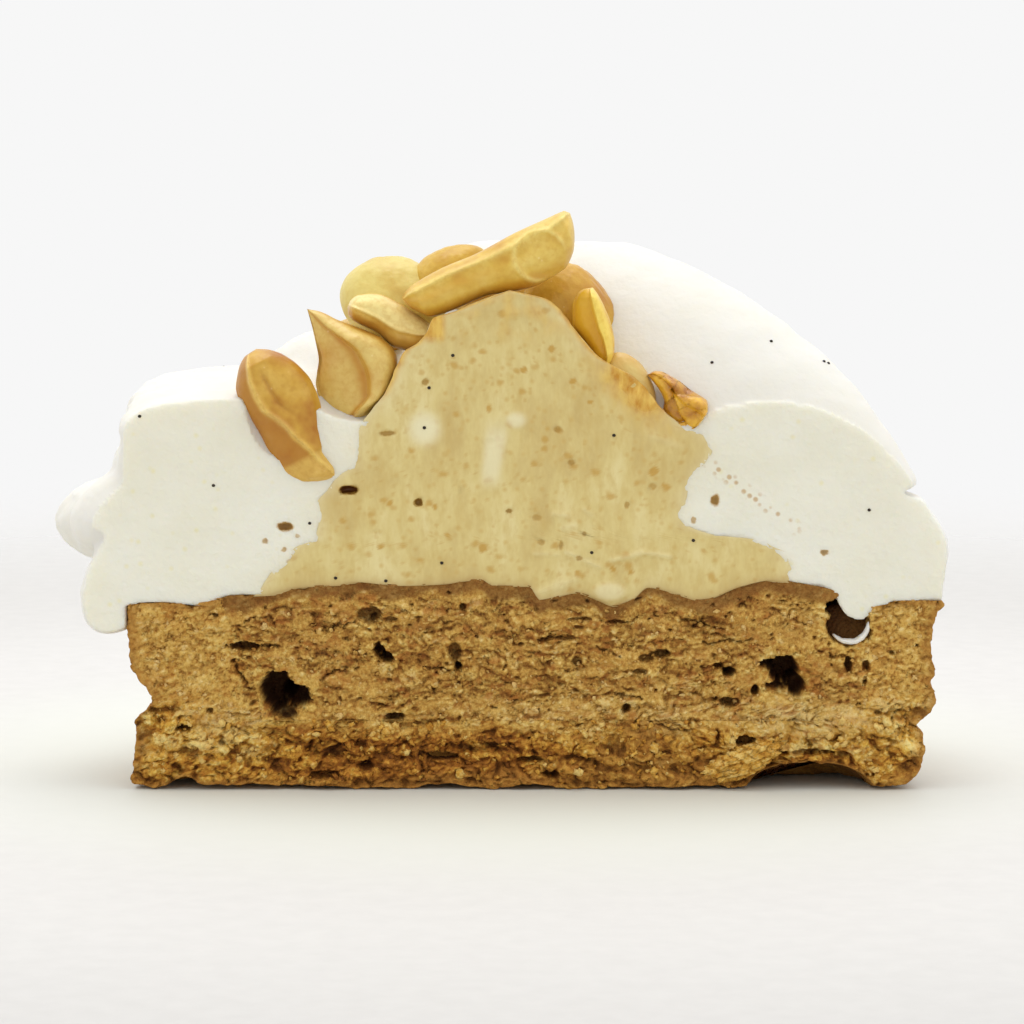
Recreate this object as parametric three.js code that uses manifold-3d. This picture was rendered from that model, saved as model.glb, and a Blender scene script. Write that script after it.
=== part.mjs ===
// Half of a small round peanut tart, cut straight through its middle.
//
// Millimetres, +Z up. The cut face looks along -Y and the round outside of the tart is behind it.
// While the pieces are made, X and Y are measured from the middle of the pastry ring, and the
// group is moved at the end so that its origin is under the middle of the whole slice.
//
// From the bottom up: a thick shortcrust shell, a baked sponge filling with holes in it, a dome of
// peanut cream, soft petals of whipped cream round the dome, and roasted peanuts on the top.

import * as THREE from "three";
import { mergeVertices } from "three/addons/utils/BufferGeometryUtils.js";
import loadManifold from "manifold-3d";

const wasm = await loadManifold();
wasm.setup();

// ---------------------------------------------------------------- driving dimensions

const RING_RADIUS = 42.5;          // an 85 mm tart ring
const RING_HEIGHT = 20.4;          // from the table to the top of the rim
const WALL_TOP = 8.6;              // thickness of the pastry wall at the rim
const WALL_FOOT = 12.0;            // and where it meets the floor
const FLOOR = 7.4;                 // thickness of the pastry floor
const GAP = 0.3;                   // space kept between neighbouring pieces

const DOME_X = -2.4;               // the cream dome stands a little left of the middle
const DOME_TOP = 53.3;

const CRUMB_CELL = [2.3, 1.5];     // width and height of the facets on the rough cut of the base
const CREAM_CELL = [8, 8];         // and on the smooth cut of the creams
const FINENESS = 0.1;              // facets that stand out less than this are merged
const CLEARANCE_FINENESS = 0.12;   // and on what only clears a space for a neighbour
const SLIVER = 0.01;               // thin scraps of facets that a cut leaves are merged
const CRUST_SIDES = 80;            // facets round the whole ring of pastry
const FILLING_SIDES = 44;
const DOME_SIDES = 36;
const SLICE_CENTRE = [-3.9, 22.0]; // middle of the whole slice, from the middle of the ring

// Shape of the peanut cream: radius of the dome at each height, to the right, back and left.
const DOME_HEIGHTS = [18.0, 20.8, 25.2, 30.0, 34.5, 38.5, 44.5, 49.0, 51.8, DOME_TOP];
const DOME_RIGHT = [35.0, 34.0, 28.4, 20.0, 19.4, 20.2, 10.8, 7.4, 4.9, 0];
const DOME_BACK = [30.0, 29.0, 26.5, 22.8, 19.9, 17.2, 12.2, 8.5, 5.8, 0];
const DOME_LEFT = [27.0, 26.0, 23.1, 20.4, 17.5, 16.4, 12.4, 9.5, 6.7, 0];

// ---------------------------------------------------------------- numbers and noise

const degrees = THREE.MathUtils.degToRad;

// A value from -1 to 1 for each whole-numbered point of space, the same on every run.
function lattice(i, j, k) {
  const mixed = Math.sin(i * 127.1 + j * 311.7 + k * 74.7) * 43758.5453;
  return 2 * (mixed - Math.floor(mixed)) - 1;
}

// Smooth noise from -1 to 1, with bumps about one unit wide.
function noise(x, y, z) {
  const cell = [Math.floor(x), Math.floor(y), Math.floor(z)];
  const ease = [x - cell[0], y - cell[1], z - cell[2]].map((t) => t * t * (3 - 2 * t));
  let sum = 0;
  for (let corner = 0; corner < 8; corner += 1) {
    const step = [corner & 1, (corner >> 1) & 1, corner >> 2];
    const share = step.reduce((part, s, axis) => part * (s ? ease[axis] : 1 - ease[axis]), 1);
    sum += share * lattice(cell[0] + step[0], cell[1] + step[1], cell[2] + step[2]);
  }
  return sum;
}

// A smooth curve through stations (at, value) that never overshoots between them.
function through(at, value, x) {
  const last = at.length - 1;
  const slope = (i) => (value[i + 1] - value[i]) / (at[i + 1] - at[i]);
  const tangent = (i) => {
    if (i === 0) return slope(0);
    if (i === last) return slope(last - 1);
    const before = slope(i - 1);
    const after = slope(i);
    return before * after <= 0 ? 0 : (2 * before * after) / (before + after);
  };
  let i = 0;
  while (i < last - 1 && x > at[i + 1]) i += 1;
  const width = at[i + 1] - at[i];
  const t = THREE.MathUtils.clamp((x - at[i]) / width, 0, 1);
  const t2 = t * t;
  const t3 = t2 * t;
  return (2 * t3 - 3 * t2 + 1) * value[i] + (t3 - 2 * t2 + t) * width * tangent(i)
    + (3 * t2 - 2 * t3) * value[i + 1] + (t3 - t2) * width * tangent(i + 1);
}

// ---------------------------------------------------------------- geometry and solids

// Moves every vertex of a geometry to where place(point) says.
function reshape(geometry, place) {
  const position = geometry.attributes.position;
  const point = new THREE.Vector3();
  for (let i = 0; i < position.count; i += 1) {
    point.fromBufferAttribute(position, i);
    place(point);
    position.setXYZ(i, point.x, point.y, point.z);
  }
  return geometry;
}

function toSolid(geometry) {
  geometry.deleteAttribute("normal");
  geometry.deleteAttribute("uv");
  const merged = mergeVertices(geometry, 1e-4);
  return new wasm.Manifold(new wasm.Mesh({
    numProp: 3,
    vertProperties: new Float32Array(merged.attributes.position.array),
    triVerts: new Uint32Array(merged.index.array),
  }));
}

// The largest single body of a solid, without the loose scraps that a cut can leave.
function largestBody(solid) {
  const bodies = solid.simplify(SLIVER).decompose();
  return bodies.reduce((best, body) => (body.volume() > best.volume() ? body : best));
}

function toGeometry(solid) {
  const mesh = solid.getMesh();
  const geometry = new THREE.BufferGeometry();
  geometry.setAttribute("position", new THREE.BufferAttribute(mesh.vertProperties, 3));
  geometry.setIndex(new THREE.BufferAttribute(mesh.triVerts, 1));
  geometry.computeVertexNormals();
  return geometry;
}

function joined(solids) {
  return solids.reduce((sum, solid) => sum.add(solid));
}

// A rounded lump: a ball pulled to three radii, squarer than an ellipsoid where boxy is over 2,
// then turned (degrees about X, Y and Z) and moved to its centre.
function lump({ at, radii, turn = [0, 0, 0], boxy = 2, sides = 16, grow = 0 }) {
  const angles = new THREE.Euler(degrees(turn[0]), degrees(turn[1]), degrees(turn[2]), "ZYX");
  const centre = new THREE.Vector3(...at);
  return toSolid(reshape(new THREE.SphereGeometry(1, sides, Math.round(sides * 0.6)), (point) => {
    const sum = Math.abs(point.x) ** boxy + Math.abs(point.y) ** boxy + Math.abs(point.z) ** boxy;
    point.multiplyScalar(sum ** (-1 / boxy));
    point.set(point.x * (radii[0] + grow), point.y * (radii[1] + grow), point.z * (radii[2] + grow));
    point.applyEuler(angles).add(centre);
  }));
}

// Everything behind the cut: a block whose front face is rough, by the depth relief(x, z).
function behindCut(cell, low, high, relief) {
  const width = 120;
  const depth = 70;
  const columns = Math.round(width / cell[0]);
  const rows = Math.round((high - low) / cell[1]);
  const block = new THREE.BoxGeometry(width, depth, high - low, columns, 1, rows);
  block.translate(0, depth / 2, (low + high) / 2);
  return toSolid(reshape(block, (point) => {
    if (point.y < depth / 2) point.y = relief(point.x, point.z);
  }));
}

// ---------------------------------------------------------------- the baked base

// The crumb breaks in flat flakes, and the pastry floor is the coarsest part.
function crumbRelief(x, z) {
  const coarse = THREE.MathUtils.smoothstep(FLOOR + 2 - z, 0, 3);
  const flakes = 0.34 * noise(x / 2.6, 3, z / 1.5) + 0.26 * noise(x / 5.2, 9, z / 3.1);
  return flakes * (1 + 0.9 * coarse);
}

// A groove runs round the outside, higher on the left of the cut than on the right.
function outerRadius(angle, z) {
  const groove = 8.35 - 1.55 * Math.cos(angle);
  const depth = 1.5 * Math.exp(-(((z - groove) / 1.3) ** 2));
  const crags = 0.32 * noise(angle * 9, 1, z / 3) + 0.2 * noise(angle * 22, 5, z / 1.7);
  const worn = 1.6 * THREE.MathUtils.smoothstep(1.8 - z, 0, 1.8);
  return RING_RADIUS - depth + crags - worn * (0.6 + 0.5 * noise(angle * 7, 2, 0));
}

// Holes in the crumb of the cut face: [x, z, half width, half height, depth].
const HOLES = [
  [-26.3, 9.9, 2.8, 2.7, 6.5], [-30.6, 15.2, 2.0, 0.7, 2.6], [-17.2, 18.4, 1.5, 1.0, 2.2],
  [-16.0, 14.4, 1.2, 1.2, 3.2], [-8.1, 14.1, 1.0, 1.7, 2.6], [-14.4, 7.9, 1.6, 0.7, 2.2],
  [6.0, 17.9, 3.1, 0.6, 2.2], [13.3, 14.1, 2.0, 0.7, 2.6], [20.5, 12.6, 0.9, 0.9, 2.2],
  [20.5, 9.5, 1.4, 0.8, 2.6], [26.0, 12.0, 2.5, 2.1, 5.5], [33.4, 13.2, 0.6, 1.0, 2.0],
];
const RIM_HOLE = [33.4, 18.1, 2.6, 3.0, 6.5]; // between the wall and the filling, on the right

function hole([x, z, halfWidth, halfHeight, depth], grow = 0) {
  const sides = halfWidth > 2.4 ? 10 : 7;
  return lump({ at: [x, 0, z], radii: [halfWidth, depth, halfHeight], sides, grow });
}

// The wall's inner face leans in from the rim down to the floor.
function innerRadius(z) {
  const down = (RING_HEIGHT - z) / (RING_HEIGHT - FLOOR);
  return RING_RADIUS - THREE.MathUtils.lerp(WALL_TOP, WALL_FOOT, down);
}

// The pastry shell turned about the axis of the ring, larger by grow all over.
function crustShape(grow) {
  const sideRows = 10;
  const sideHeight = RING_HEIGHT + 2 * grow;
  const profile = [new THREE.Vector2(0, FLOOR + grow), new THREE.Vector2(0, -grow)];
  for (let row = 0; row <= sideRows; row += 1) {
    profile.push(new THREE.Vector2(RING_RADIUS + grow, (sideHeight * row) / sideRows - grow));
  }
  profile.push(new THREE.Vector2(RING_RADIUS - WALL_TOP / 2, RING_HEIGHT + 0.3 + grow));
  profile.push(new THREE.Vector2(innerRadius(RING_HEIGHT) - grow, RING_HEIGHT + grow));
  profile.push(new THREE.Vector2(innerRadius(FLOOR) - grow, FLOOR + grow));
  profile.push(new THREE.Vector2(0, FLOOR + grow));
  const turned = new THREE.LatheGeometry(profile, CRUST_SIDES).rotateX(Math.PI / 2);
  return toSolid(reshape(turned, (point) => {
    const angle = Math.abs(Math.atan2(point.y, point.x));
    const radius = Math.hypot(point.x, point.y);
    const onRim = point.z > RING_HEIGHT - 0.5;
    if (radius > RING_RADIUS - 0.1) {
      const scale = (outerRadius(angle, point.z) + grow) / radius;
      point.x *= scale;
      point.y *= scale;
    }
    if (onRim) point.z += 0.35 * noise(angle * 11, 4, radius / 3);
  }));
}

// The baked top of the filling rises and falls gently.
function fillingTop(x, y) {
  const swell = Math.cos((2 * Math.PI * (x + 12)) / 38);
  return 21.2 + 1.2 * swell * Math.exp(-((y / 18) ** 2)) + 0.25 * noise(x / 4, y / 4, 7);
}

function fillingShape(grow) {
  const rings = 6;
  const low = FLOOR + GAP - grow;
  const footRadius = innerRadius(low) - GAP + grow;
  const rimRadius = innerRadius(RING_HEIGHT) - GAP + grow;
  const profile = [new THREE.Vector2(0, low), new THREE.Vector2(footRadius, low)];
  for (let ring = 0; ring <= rings; ring += 1) {
    profile.push(new THREE.Vector2(rimRadius * (1 - ring / rings), RING_HEIGHT));
  }
  profile.push(new THREE.Vector2(0, low));
  const turned = new THREE.LatheGeometry(profile, FILLING_SIDES).rotateX(Math.PI / 2);
  return toSolid(reshape(turned, (point) => {
    if (point.z > RING_HEIGHT - 0.1) {
      const inside = 1 - (Math.hypot(point.x, point.y) / rimRadius) ** 6;
      point.z = THREE.MathUtils.lerp(RING_HEIGHT, fillingTop(point.x, point.y), inside) + grow;
    }
  }));
}

const baseCut = behindCut(CRUMB_CELL, -3, 24, crumbRelief);
const crumbHoles = joined([...HOLES, RIM_HOLE].map((sizes) => hole(sizes)));
// The floor has broken away under the right of the cut, and a flake of it juts out beside the gap.
const brokenGap = lump({ at: [29.2, -1, 0], radii: [6.6, 9.5, 2.9], sides: 14 });
const flake = lump({ at: [21.0, 0.9, 3.0], radii: [4.6, 2.0, 2.4], turn: [0, -14, 0], sides: 12 });
const flakeAboveTable = flake.trimByPlane([0, 0, 1], 0);

const crust = largestBody(
  crustShape(0).intersect(baseCut).simplify(FINENESS)
    .subtract(crumbHoles).add(flakeAboveTable).subtract(brokenGap),
);
const filling = largestBody(
  fillingShape(0).intersect(baseCut).simplify(FINENESS).subtract(crumbHoles),
);
const baseSpace = crustShape(GAP).add(fillingShape(GAP)).subtract(hole(RIM_HOLE, -GAP))
  .simplify(CLEARANCE_FINENESS);

// ---------------------------------------------------------------- peanuts

// Half a kernel, lying on its flat side: a long dome that narrows to a tip, with a shallow
// hollow along the flat side, made of a ball. A whole kernel is round on both sides.
function kernel({ at, size, turn, tip = 0.25, bend = 0.06, whole = false, grow = 0 }) {
  const angles = new THREE.Euler(degrees(turn[0]), degrees(turn[1]), degrees(turn[2]), "ZYX");
  const centre = new THREE.Vector3(...at);
  const [long, wide, thick] = size.map((extent) => extent / 2 + grow);
  return toSolid(reshape(new THREE.SphereGeometry(1, 12, 9).rotateZ(Math.PI / 2), (point) => {
    const along = point.x;
    const across = point.y;
    const narrow = 1 - tip * along - 0.1 * along * along;
    const under = THREE.MathUtils.clamp(-2.5 * point.z, 0, 1);
    const hollow = 0.28 * under * Math.exp(-((across / 0.4) ** 2)) * (1 - along * along);
    let height = point.z;
    if (!whole && height < 0) height = 0.34 * height + hollow;
    point.set(along * long, across * wide * narrow + bend * long * along * along, height * thick);
    point.applyEuler(angles).add(centre);
  }));
}

const PEANUTS = {
  peanut_left: { at: [-25.4, 1.4, 39.8], size: [15.6, 9.6, 7.4], turn: [115, 62, 0], tip: 0.08, bend: 0.1 },
  peanut_split: { at: [-19.0, 3.4, 44.9], size: [14.6, 9.0, 7.0], turn: [-76, 62, 0], tip: -0.28 },
  peanut_round: { at: [-14.9, 10.4, 51.2], size: [11.4, 10.2, 6.6], turn: [62, 6, 4], tip: 0.05 },
  peanut_small: { at: [-14.8, 4.6, 49.0], size: [10.4, 6.2, 5.4], turn: [20, 22, 0], tip: 0.2 },
  peanut_behind: { at: [-7.8, 11.0, 54.8], size: [10.4, 6.8, 5.6], turn: [40, -24, 10], whole: true },
  peanut_top: { at: [-4.0, 3.4, 55.3], size: [20.6, 7.6, 7.0], turn: [24, -23, 0], tip: -0.34, bend: 0.02 },
  peanut_right: { at: [4.7, 9.2, 51.0], size: [11.4, 9.0, 6.6], turn: [64, 40, 0], tip: 0.1 },
  peanut_edge: { at: [6.7, 3.0, 47.6], size: [11.2, 7.0, 5.4], turn: [32, 78, 0], tip: 0.15 },
  peanut_sunk: { at: [10.9, 1.6, 43.2], size: [7.0, 4.6, 4.4], turn: [70, 50, 0], tip: 0.1, whole: true },
  caramel_crumb: { at: [15.4, 1.4, 40.6], size: [7.2, 6.2, 5.8], turn: [0, 30, 20], tip: 0.05, whole: true },
  peanut_rear_left: { at: [-20.4, 14.4, 47.0], size: [13.0, 8.0, 6.2], turn: [-30, 24, 60], tip: 0.2 },
  peanut_rear: { at: [-4.6, 18.4, 52.0], size: [14.0, 8.0, 6.2], turn: [-24, 8, 152], tip: 0.2 },
};

// Each peanut makes room for the ones before it, and the creams make room for them all.
const peanuts = {};
let nutSpace = null;
for (const [name, nut] of Object.entries(PEANUTS)) {
  const body = kernel(nut);
  peanuts[name] = nutSpace ? largestBody(body.subtract(nutSpace)) : body;
  const grown = kernel({ ...nut, grow: GAP });
  nutSpace = nutSpace ? nutSpace.add(grown) : grown;
}

// ---------------------------------------------------------------- creams

// The dome is steeper on some sides than on others, and its radius blends from side to side.
function domeShape(grow) {
  const low = DOME_HEIGHTS[0];
  const dome = new THREE.SphereGeometry(1, DOME_SIDES, 14).rotateX(Math.PI / 2);
  return toSolid(reshape(dome, (point) => {
    const angle = Math.atan2(point.y, point.x);
    const top = Math.hypot(point.x, point.y) < 1e-9;
    const share = (1 + point.z) / 2;
    const z = share < 0.06 ? low : low + (DOME_TOP - low) * Math.sqrt(share) ** 1.2;
    const facing = Math.cos(angle);
    const ends = facing > 0 ? DOME_RIGHT : DOME_LEFT;
    const radius = through(DOME_HEIGHTS, ends, z) * facing * facing
      + through(DOME_HEIGHTS, DOME_BACK, z) * (1 - facing * facing);
    const wavy = top ? 0 : radius + grow + 0.25 * noise(3 * facing, 3 * Math.sin(angle), z / 5);
    point.set(DOME_X + wavy * Math.cos(angle), wavy * Math.sin(angle), top && point.z > 0 ? z + grow : z);
  }));
}

// The petals of whipped cream, from the right of the cut round the back to the left of it.
const PETALS = {
  bigRight: { at: [10.5, 13.3, 27.8], radii: [39.4, 13.4, 27.0], turn: [-13.8, 30.4, -31.5], sides: 28 },
  rightBase: { at: [29.7, 5, 27.2], radii: [14.6, 14, 7.6], turn: [0, 16, 4], boxy: 2.4 },
  rightBack: { at: [27, 20, 26.2], radii: [15, 12.5, 8.4], turn: [0, 8, 40], boxy: 2.4 },
  backRight: { at: [12, 30.5, 26.6], radii: [14.5, 13, 8.6], turn: [6, 4, 70], boxy: 2.4 },
  backLeft: { at: [-7, 32.5, 26.8], radii: [14, 13.5, 9.0], turn: [8, 0, 96], boxy: 2.4 },
  leftBack: { at: [-25, 25.5, 26.4], radii: [15.4, 13, 8.4], turn: [0, -6, 134], boxy: 2.4 },
  leftMiddle: { at: [-37.5, 12.5, 28.2], radii: [14.2, 9, 5.6], turn: [0, -4, -4], boxy: 2.2 },
  leftHanging: { at: [-41.6, 3, 24.2], radii: [9, 7.5, 4.6], turn: [0, -56, 0] },
  leftBody: { at: [-27, 12, 29.5], radii: [17.6, 18, 11], boxy: 3 },
  leftSecond: { at: [-30.5, 7, 33.8], radii: [14.2, 10, 4.6], turn: [0, 0, 5], boxy: 2.6 },
  leftTop: { at: [-25.6, 10, 37.5], radii: [18.2, 15.5, 5.5], turn: [7, -1, 0], boxy: 4, sides: 24 },
  upperRight: { at: [22, 21, 34.5], radii: [15, 11, 9], turn: [0, 22, 36], boxy: 2.2 },
  upperBack: { at: [5, 28.5, 36.5], radii: [16, 11, 9.5], turn: [-8, 16, 12], boxy: 2.2 },
  backTop: { at: [-16, 23, 37.5], radii: [15.5, 12, 10], turn: [0, 12, -24], boxy: 2.2 },
  drip: { at: [34.2, 1.8, 20.4], radii: [1.7, 2.6, 2.2], sides: 10 },
};

const creamCut = behindCut(CREAM_CELL, -3, 66, (x, z) => 0.16 * noise(x / 6, 5, z / 6));

const peanutCream = largestBody(
  domeShape(0).intersect(creamCut).simplify(FINENESS).subtract(baseSpace).subtract(nutSpace),
);
const domeSpace = domeShape(GAP).simplify(FINENESS);
const whippedCream = largestBody(
  joined(Object.values(PETALS).map(lump)).intersect(creamCut).simplify(FINENESS)
    .subtract(domeSpace).subtract(baseSpace).subtract(nutSpace),
);

// ---------------------------------------------------------------- scene graph

function piece(name, solid, colour, roughness) {
  const finish = new THREE.MeshStandardMaterial({ color: colour, roughness, metalness: 0 });
  const mesh = new THREE.Mesh(toGeometry(solid), finish);
  mesh.name = name;
  return mesh;
}

const tart = new THREE.Group();
tart.add(piece("tart_crust", crust, 0xac8745, 0.9));
tart.add(piece("baked_filling", filling, 0x966c33, 0.9));
tart.add(piece("peanut_cream", peanutCream, 0xcdbb7e, 0.5));
tart.add(piece("whipped_cream", whippedCream, 0xefede2, 0.5));
for (const [name, solid] of Object.entries(peanuts)) {
  tart.add(piece(name, solid, 0xc89c49, 0.4));
}
tart.position.set(-SLICE_CENTRE[0], -SLICE_CENTRE[1], 0);

export default tart;
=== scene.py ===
# %% [markdown]
# # Half of a small round peanut tart
#
# The slice is half of a tart for one person, cut straight through its middle. We look at the cut:
# a thick shortcrust shell, a baked sponge filling with holes in it, a dome of peanut cream, soft
# petals of vanilla whipped cream round the dome, and roasted peanuts on top.
#
# All shapes are worked out here in millimetres, measured from the middle of the pastry ring, with
# the cut in the plane y = 0 and the round outside behind it. They are put into Blender in metres.

import math

import bpy
import numpy as np
import openvdb
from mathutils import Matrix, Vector


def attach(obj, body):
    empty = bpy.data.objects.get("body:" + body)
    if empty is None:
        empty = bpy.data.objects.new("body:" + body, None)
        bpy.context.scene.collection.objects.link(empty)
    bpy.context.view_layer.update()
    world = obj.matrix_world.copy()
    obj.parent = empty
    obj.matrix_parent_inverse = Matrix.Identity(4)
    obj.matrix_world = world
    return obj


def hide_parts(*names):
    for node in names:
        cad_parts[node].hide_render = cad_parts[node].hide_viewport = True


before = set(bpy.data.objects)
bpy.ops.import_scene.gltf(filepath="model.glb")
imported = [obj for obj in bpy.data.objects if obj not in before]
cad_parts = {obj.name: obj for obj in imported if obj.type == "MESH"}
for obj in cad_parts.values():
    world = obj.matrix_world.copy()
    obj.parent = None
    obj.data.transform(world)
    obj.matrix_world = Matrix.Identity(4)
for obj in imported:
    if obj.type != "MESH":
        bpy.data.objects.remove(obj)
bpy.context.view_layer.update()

# %% [markdown]
# ## Numbers that several pieces share
#
# The pastry ring is 85 mm wide. The middle of the finished slice isn't the middle of the ring,
# because the cream hangs out over the left rim, so one vector moves everything in the end.

# %% Shared dimensions
MM = 0.001              # metres in a millimetre
SLICE_CENTRE = np.array([-3.9, 22.0, 0.0])
RING_RADIUS = 42.5
RING_HEIGHT = 20.4      # the pastry rim
FLOOR = 7.4             # the top of the pastry floor, where the filling starts
DOME_X = -2.4           # the dome's axis stands at x = DOME_X, y = 0
DOME_TOP = 52.9


def smooth(value, low, high):
    """0 below low and 1 above high, with a soft S-shaped rise between them."""
    share = np.clip((value - low) / (high - low), 0, 1)
    return share * share * (3 - 2 * share)


def mix(a, b, share):
    """a where share is 0, b where it is 1, and in between in proportion."""
    return a + (b - a) * share


def through(stations, x):
    """A smooth curve through the (at, value) stations that never overshoots between them.

    Each station's slope is the harmonic mean of the slopes on its two sides, or level at a peak,
    and a cubic joins the stations.
    """
    at, value = np.array(stations, float).T
    steps = np.diff(at)
    slopes = np.diff(value) / steps
    product = slopes[1:] * slopes[:-1]
    total = slopes[1:] + slopes[:-1]
    middle = np.where(product > 0, 2 * product / np.where(total == 0, 1, total), 0)
    tangent = np.concatenate([slopes[:1], middle, slopes[-1:]])
    i = np.clip(np.searchsorted(at, x, side="right") - 1, 0, len(at) - 2)
    t = np.clip((x - at[i]) / steps[i], 0, 1)
    return ((2 * t**3 - 3 * t**2 + 1) * value[i] + (t**3 - 2 * t**2 + t) * steps[i] * tangent[i]
            + (3 * t**2 - 2 * t**3) * value[i + 1] + (t**3 - t**2) * steps[i] * tangent[i + 1])


def beside(x, z, x0, z0, x1, z1):
    """How far each (x, z) is, in x and in z, from the nearest place on the line between two
    points, and how far along the line that place is, from 0 to 1."""
    run_x, run_z = x1 - x0, z1 - z0
    share = np.clip(((x - x0) * run_x + (z - z0) * run_z) / (run_x**2 + run_z**2), 0, 1)
    return x - x0 - share * run_x, z - z0 - share * run_z, share


print("pastry ring", 2 * RING_RADIUS, "mm wide and", RING_HEIGHT, "mm high")

# %% [markdown]
# ## Noise: the raw material of crumb
#
# Baked crumb looks irregular at every size. Two kinds of noise give all of it: soft gradient noise
# for waves and mottling, and cell noise, which scatters one point in each cell and so gives grains
# with gaps between them. Both come from seeded tables, so each run gives the same tart.

# %% Noise tables and functions
dice = np.random.default_rng(11)
SHUFFLE = dice.permutation(256)
DIRECTIONS = dice.normal(size=(256, 3))
DIRECTIONS /= np.linalg.norm(DIRECTIONS, axis=1)[:, None]
SCATTER = dice.random((256, 2))
OWN = dice.random(256)


def noise(x, y, z):
    """Gradient noise, about -1 to 1, with waves about one unit wide.

    Each whole-numbered corner has a direction, and a point blends the leanings of its 8 corners.
    """
    place = [np.asarray(a, float) for a in np.broadcast_arrays(x, y, z)]
    cell = [np.floor(a).astype(int) for a in place]
    inside = [a - c for a, c in zip(place, cell)]
    ease = [t**3 * (t * (t * 6 - 15) + 10) for t in inside]
    total = np.zeros(place[0].shape)
    for corner in range(8):
        step = (corner & 1, corner >> 1 & 1, corner >> 2)
        key = SHUFFLE[(cell[0] + step[0]) & 255]
        key = SHUFFLE[(key + cell[1] + step[1]) & 255]
        key = SHUFFLE[(key + cell[2] + step[2]) & 255]
        lean = sum(DIRECTIONS[key, a] * (inside[a] - step[a]) for a in range(3))
        total += lean * math.prod(e if s else 1 - e for e, s in zip(ease, step))
    return 1.7 * total


def grains(x, z, layer=0):
    """Cell noise: (distance to the nearest scattered point, how much further the next one is,
    and a value from 0 to 1 that belongs to the nearest). layer picks another scattering."""
    x, z = [np.asarray(a, float) for a in np.broadcast_arrays(x, z)]
    column, row = np.floor(x).astype(int), np.floor(z).astype(int)
    nearest, second, own = np.full(x.shape, 9.0), np.full(x.shape, 9.0), np.zeros(x.shape)
    for right in (-1, 0, 1):
        for up in (-1, 0, 1):
            key = SHUFFLE[(SHUFFLE[(column + right + 37 * layer) & 255] + row + up) & 255]
            far = np.hypot(column + right + SCATTER[key, 0] - x, row + up + SCATTER[key, 1] - z)
            closer = far < nearest
            second = np.where(closer, nearest, np.minimum(second, far))
            own = np.where(closer, OWN[key], own)
            nearest = np.minimum(nearest, far)
    return nearest, second - nearest, own


print("noise from", noise(np.arange(500) / 7, 0.3, 0.8).min().round(2), "to",
      noise(np.arange(500) / 7, 0.3, 0.8).max().round(2))

# %% [markdown]
# ## From arrays to meshes
#
# Most pieces here are a stack of closed rings: each row of the array is one ring of points, the
# next row is the next ring, and a single point closes each end. That is a function of two
# parameters, the place along the stack and the place round the ring, and it is always closed.

# %% Steps, rings and marks
def between(low, high, count):
    """count even steps between two ends, without the ends themselves."""
    return np.linspace(low, high, count + 2)[1:-1]


def full_turn(columns):
    """The angles of the points of one ring, as a row."""
    return np.linspace(0, 2 * math.pi, columns, endpoint=False)[None, :]


def face_marks(shape, **marks):
    """Marks that are worked out for the face that shows, padded to all the points of the rings.
    Each one is given as its values on the face and the value of every hidden point."""
    return {name: np.pad(values, [(0, whole - seen) for whole, seen in zip(shape, values.shape)],
                         constant_values=hidden) for name, (values, hidden) in marks.items()}


def ring_faces(rows, columns):
    """Quads of a stack of closed rings, and the triangles that close its two ends on one point
    each, which are numbered after all the rings' points."""
    row, column = np.meshgrid(np.arange(rows - 1), np.arange(columns), indexing="ij")
    after = (column + 1) % columns
    quads = np.stack([row * columns + column, row * columns + after,
                      (row + 1) * columns + after, (row + 1) * columns + column], -1).reshape(-1, 4)
    here = np.arange(columns)
    first, last = rows * columns, rows * columns + 1
    low = np.stack([np.roll(here, -1), here, np.full(columns, first)], -1)
    top = np.stack([here, np.roll(here, -1), np.full(columns, 0)], -1) + (rows - 1) * columns
    top[:, 2] = last
    return quads, np.concatenate([low, top])


print("a ball of 5 rings of 7 points has", sum(len(faces) for faces in ring_faces(5, 7)), "faces")

# %% [markdown]
# Blender could take the points one face at a time, but it is much faster to hand it whole arrays
# with foreach_set. The volume inside the faces tells whether they point outwards, so no piece
# needs to care in which direction its rings run.

# %% Points and faces into Blender
def swept_volume(points, triangles):
    """Six times the volume inside the triangles, negative where they face inwards."""
    a, b, c = (points[triangles[:, i]] for i in range(3))
    return float((a * np.cross(b, c)).sum())


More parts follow.
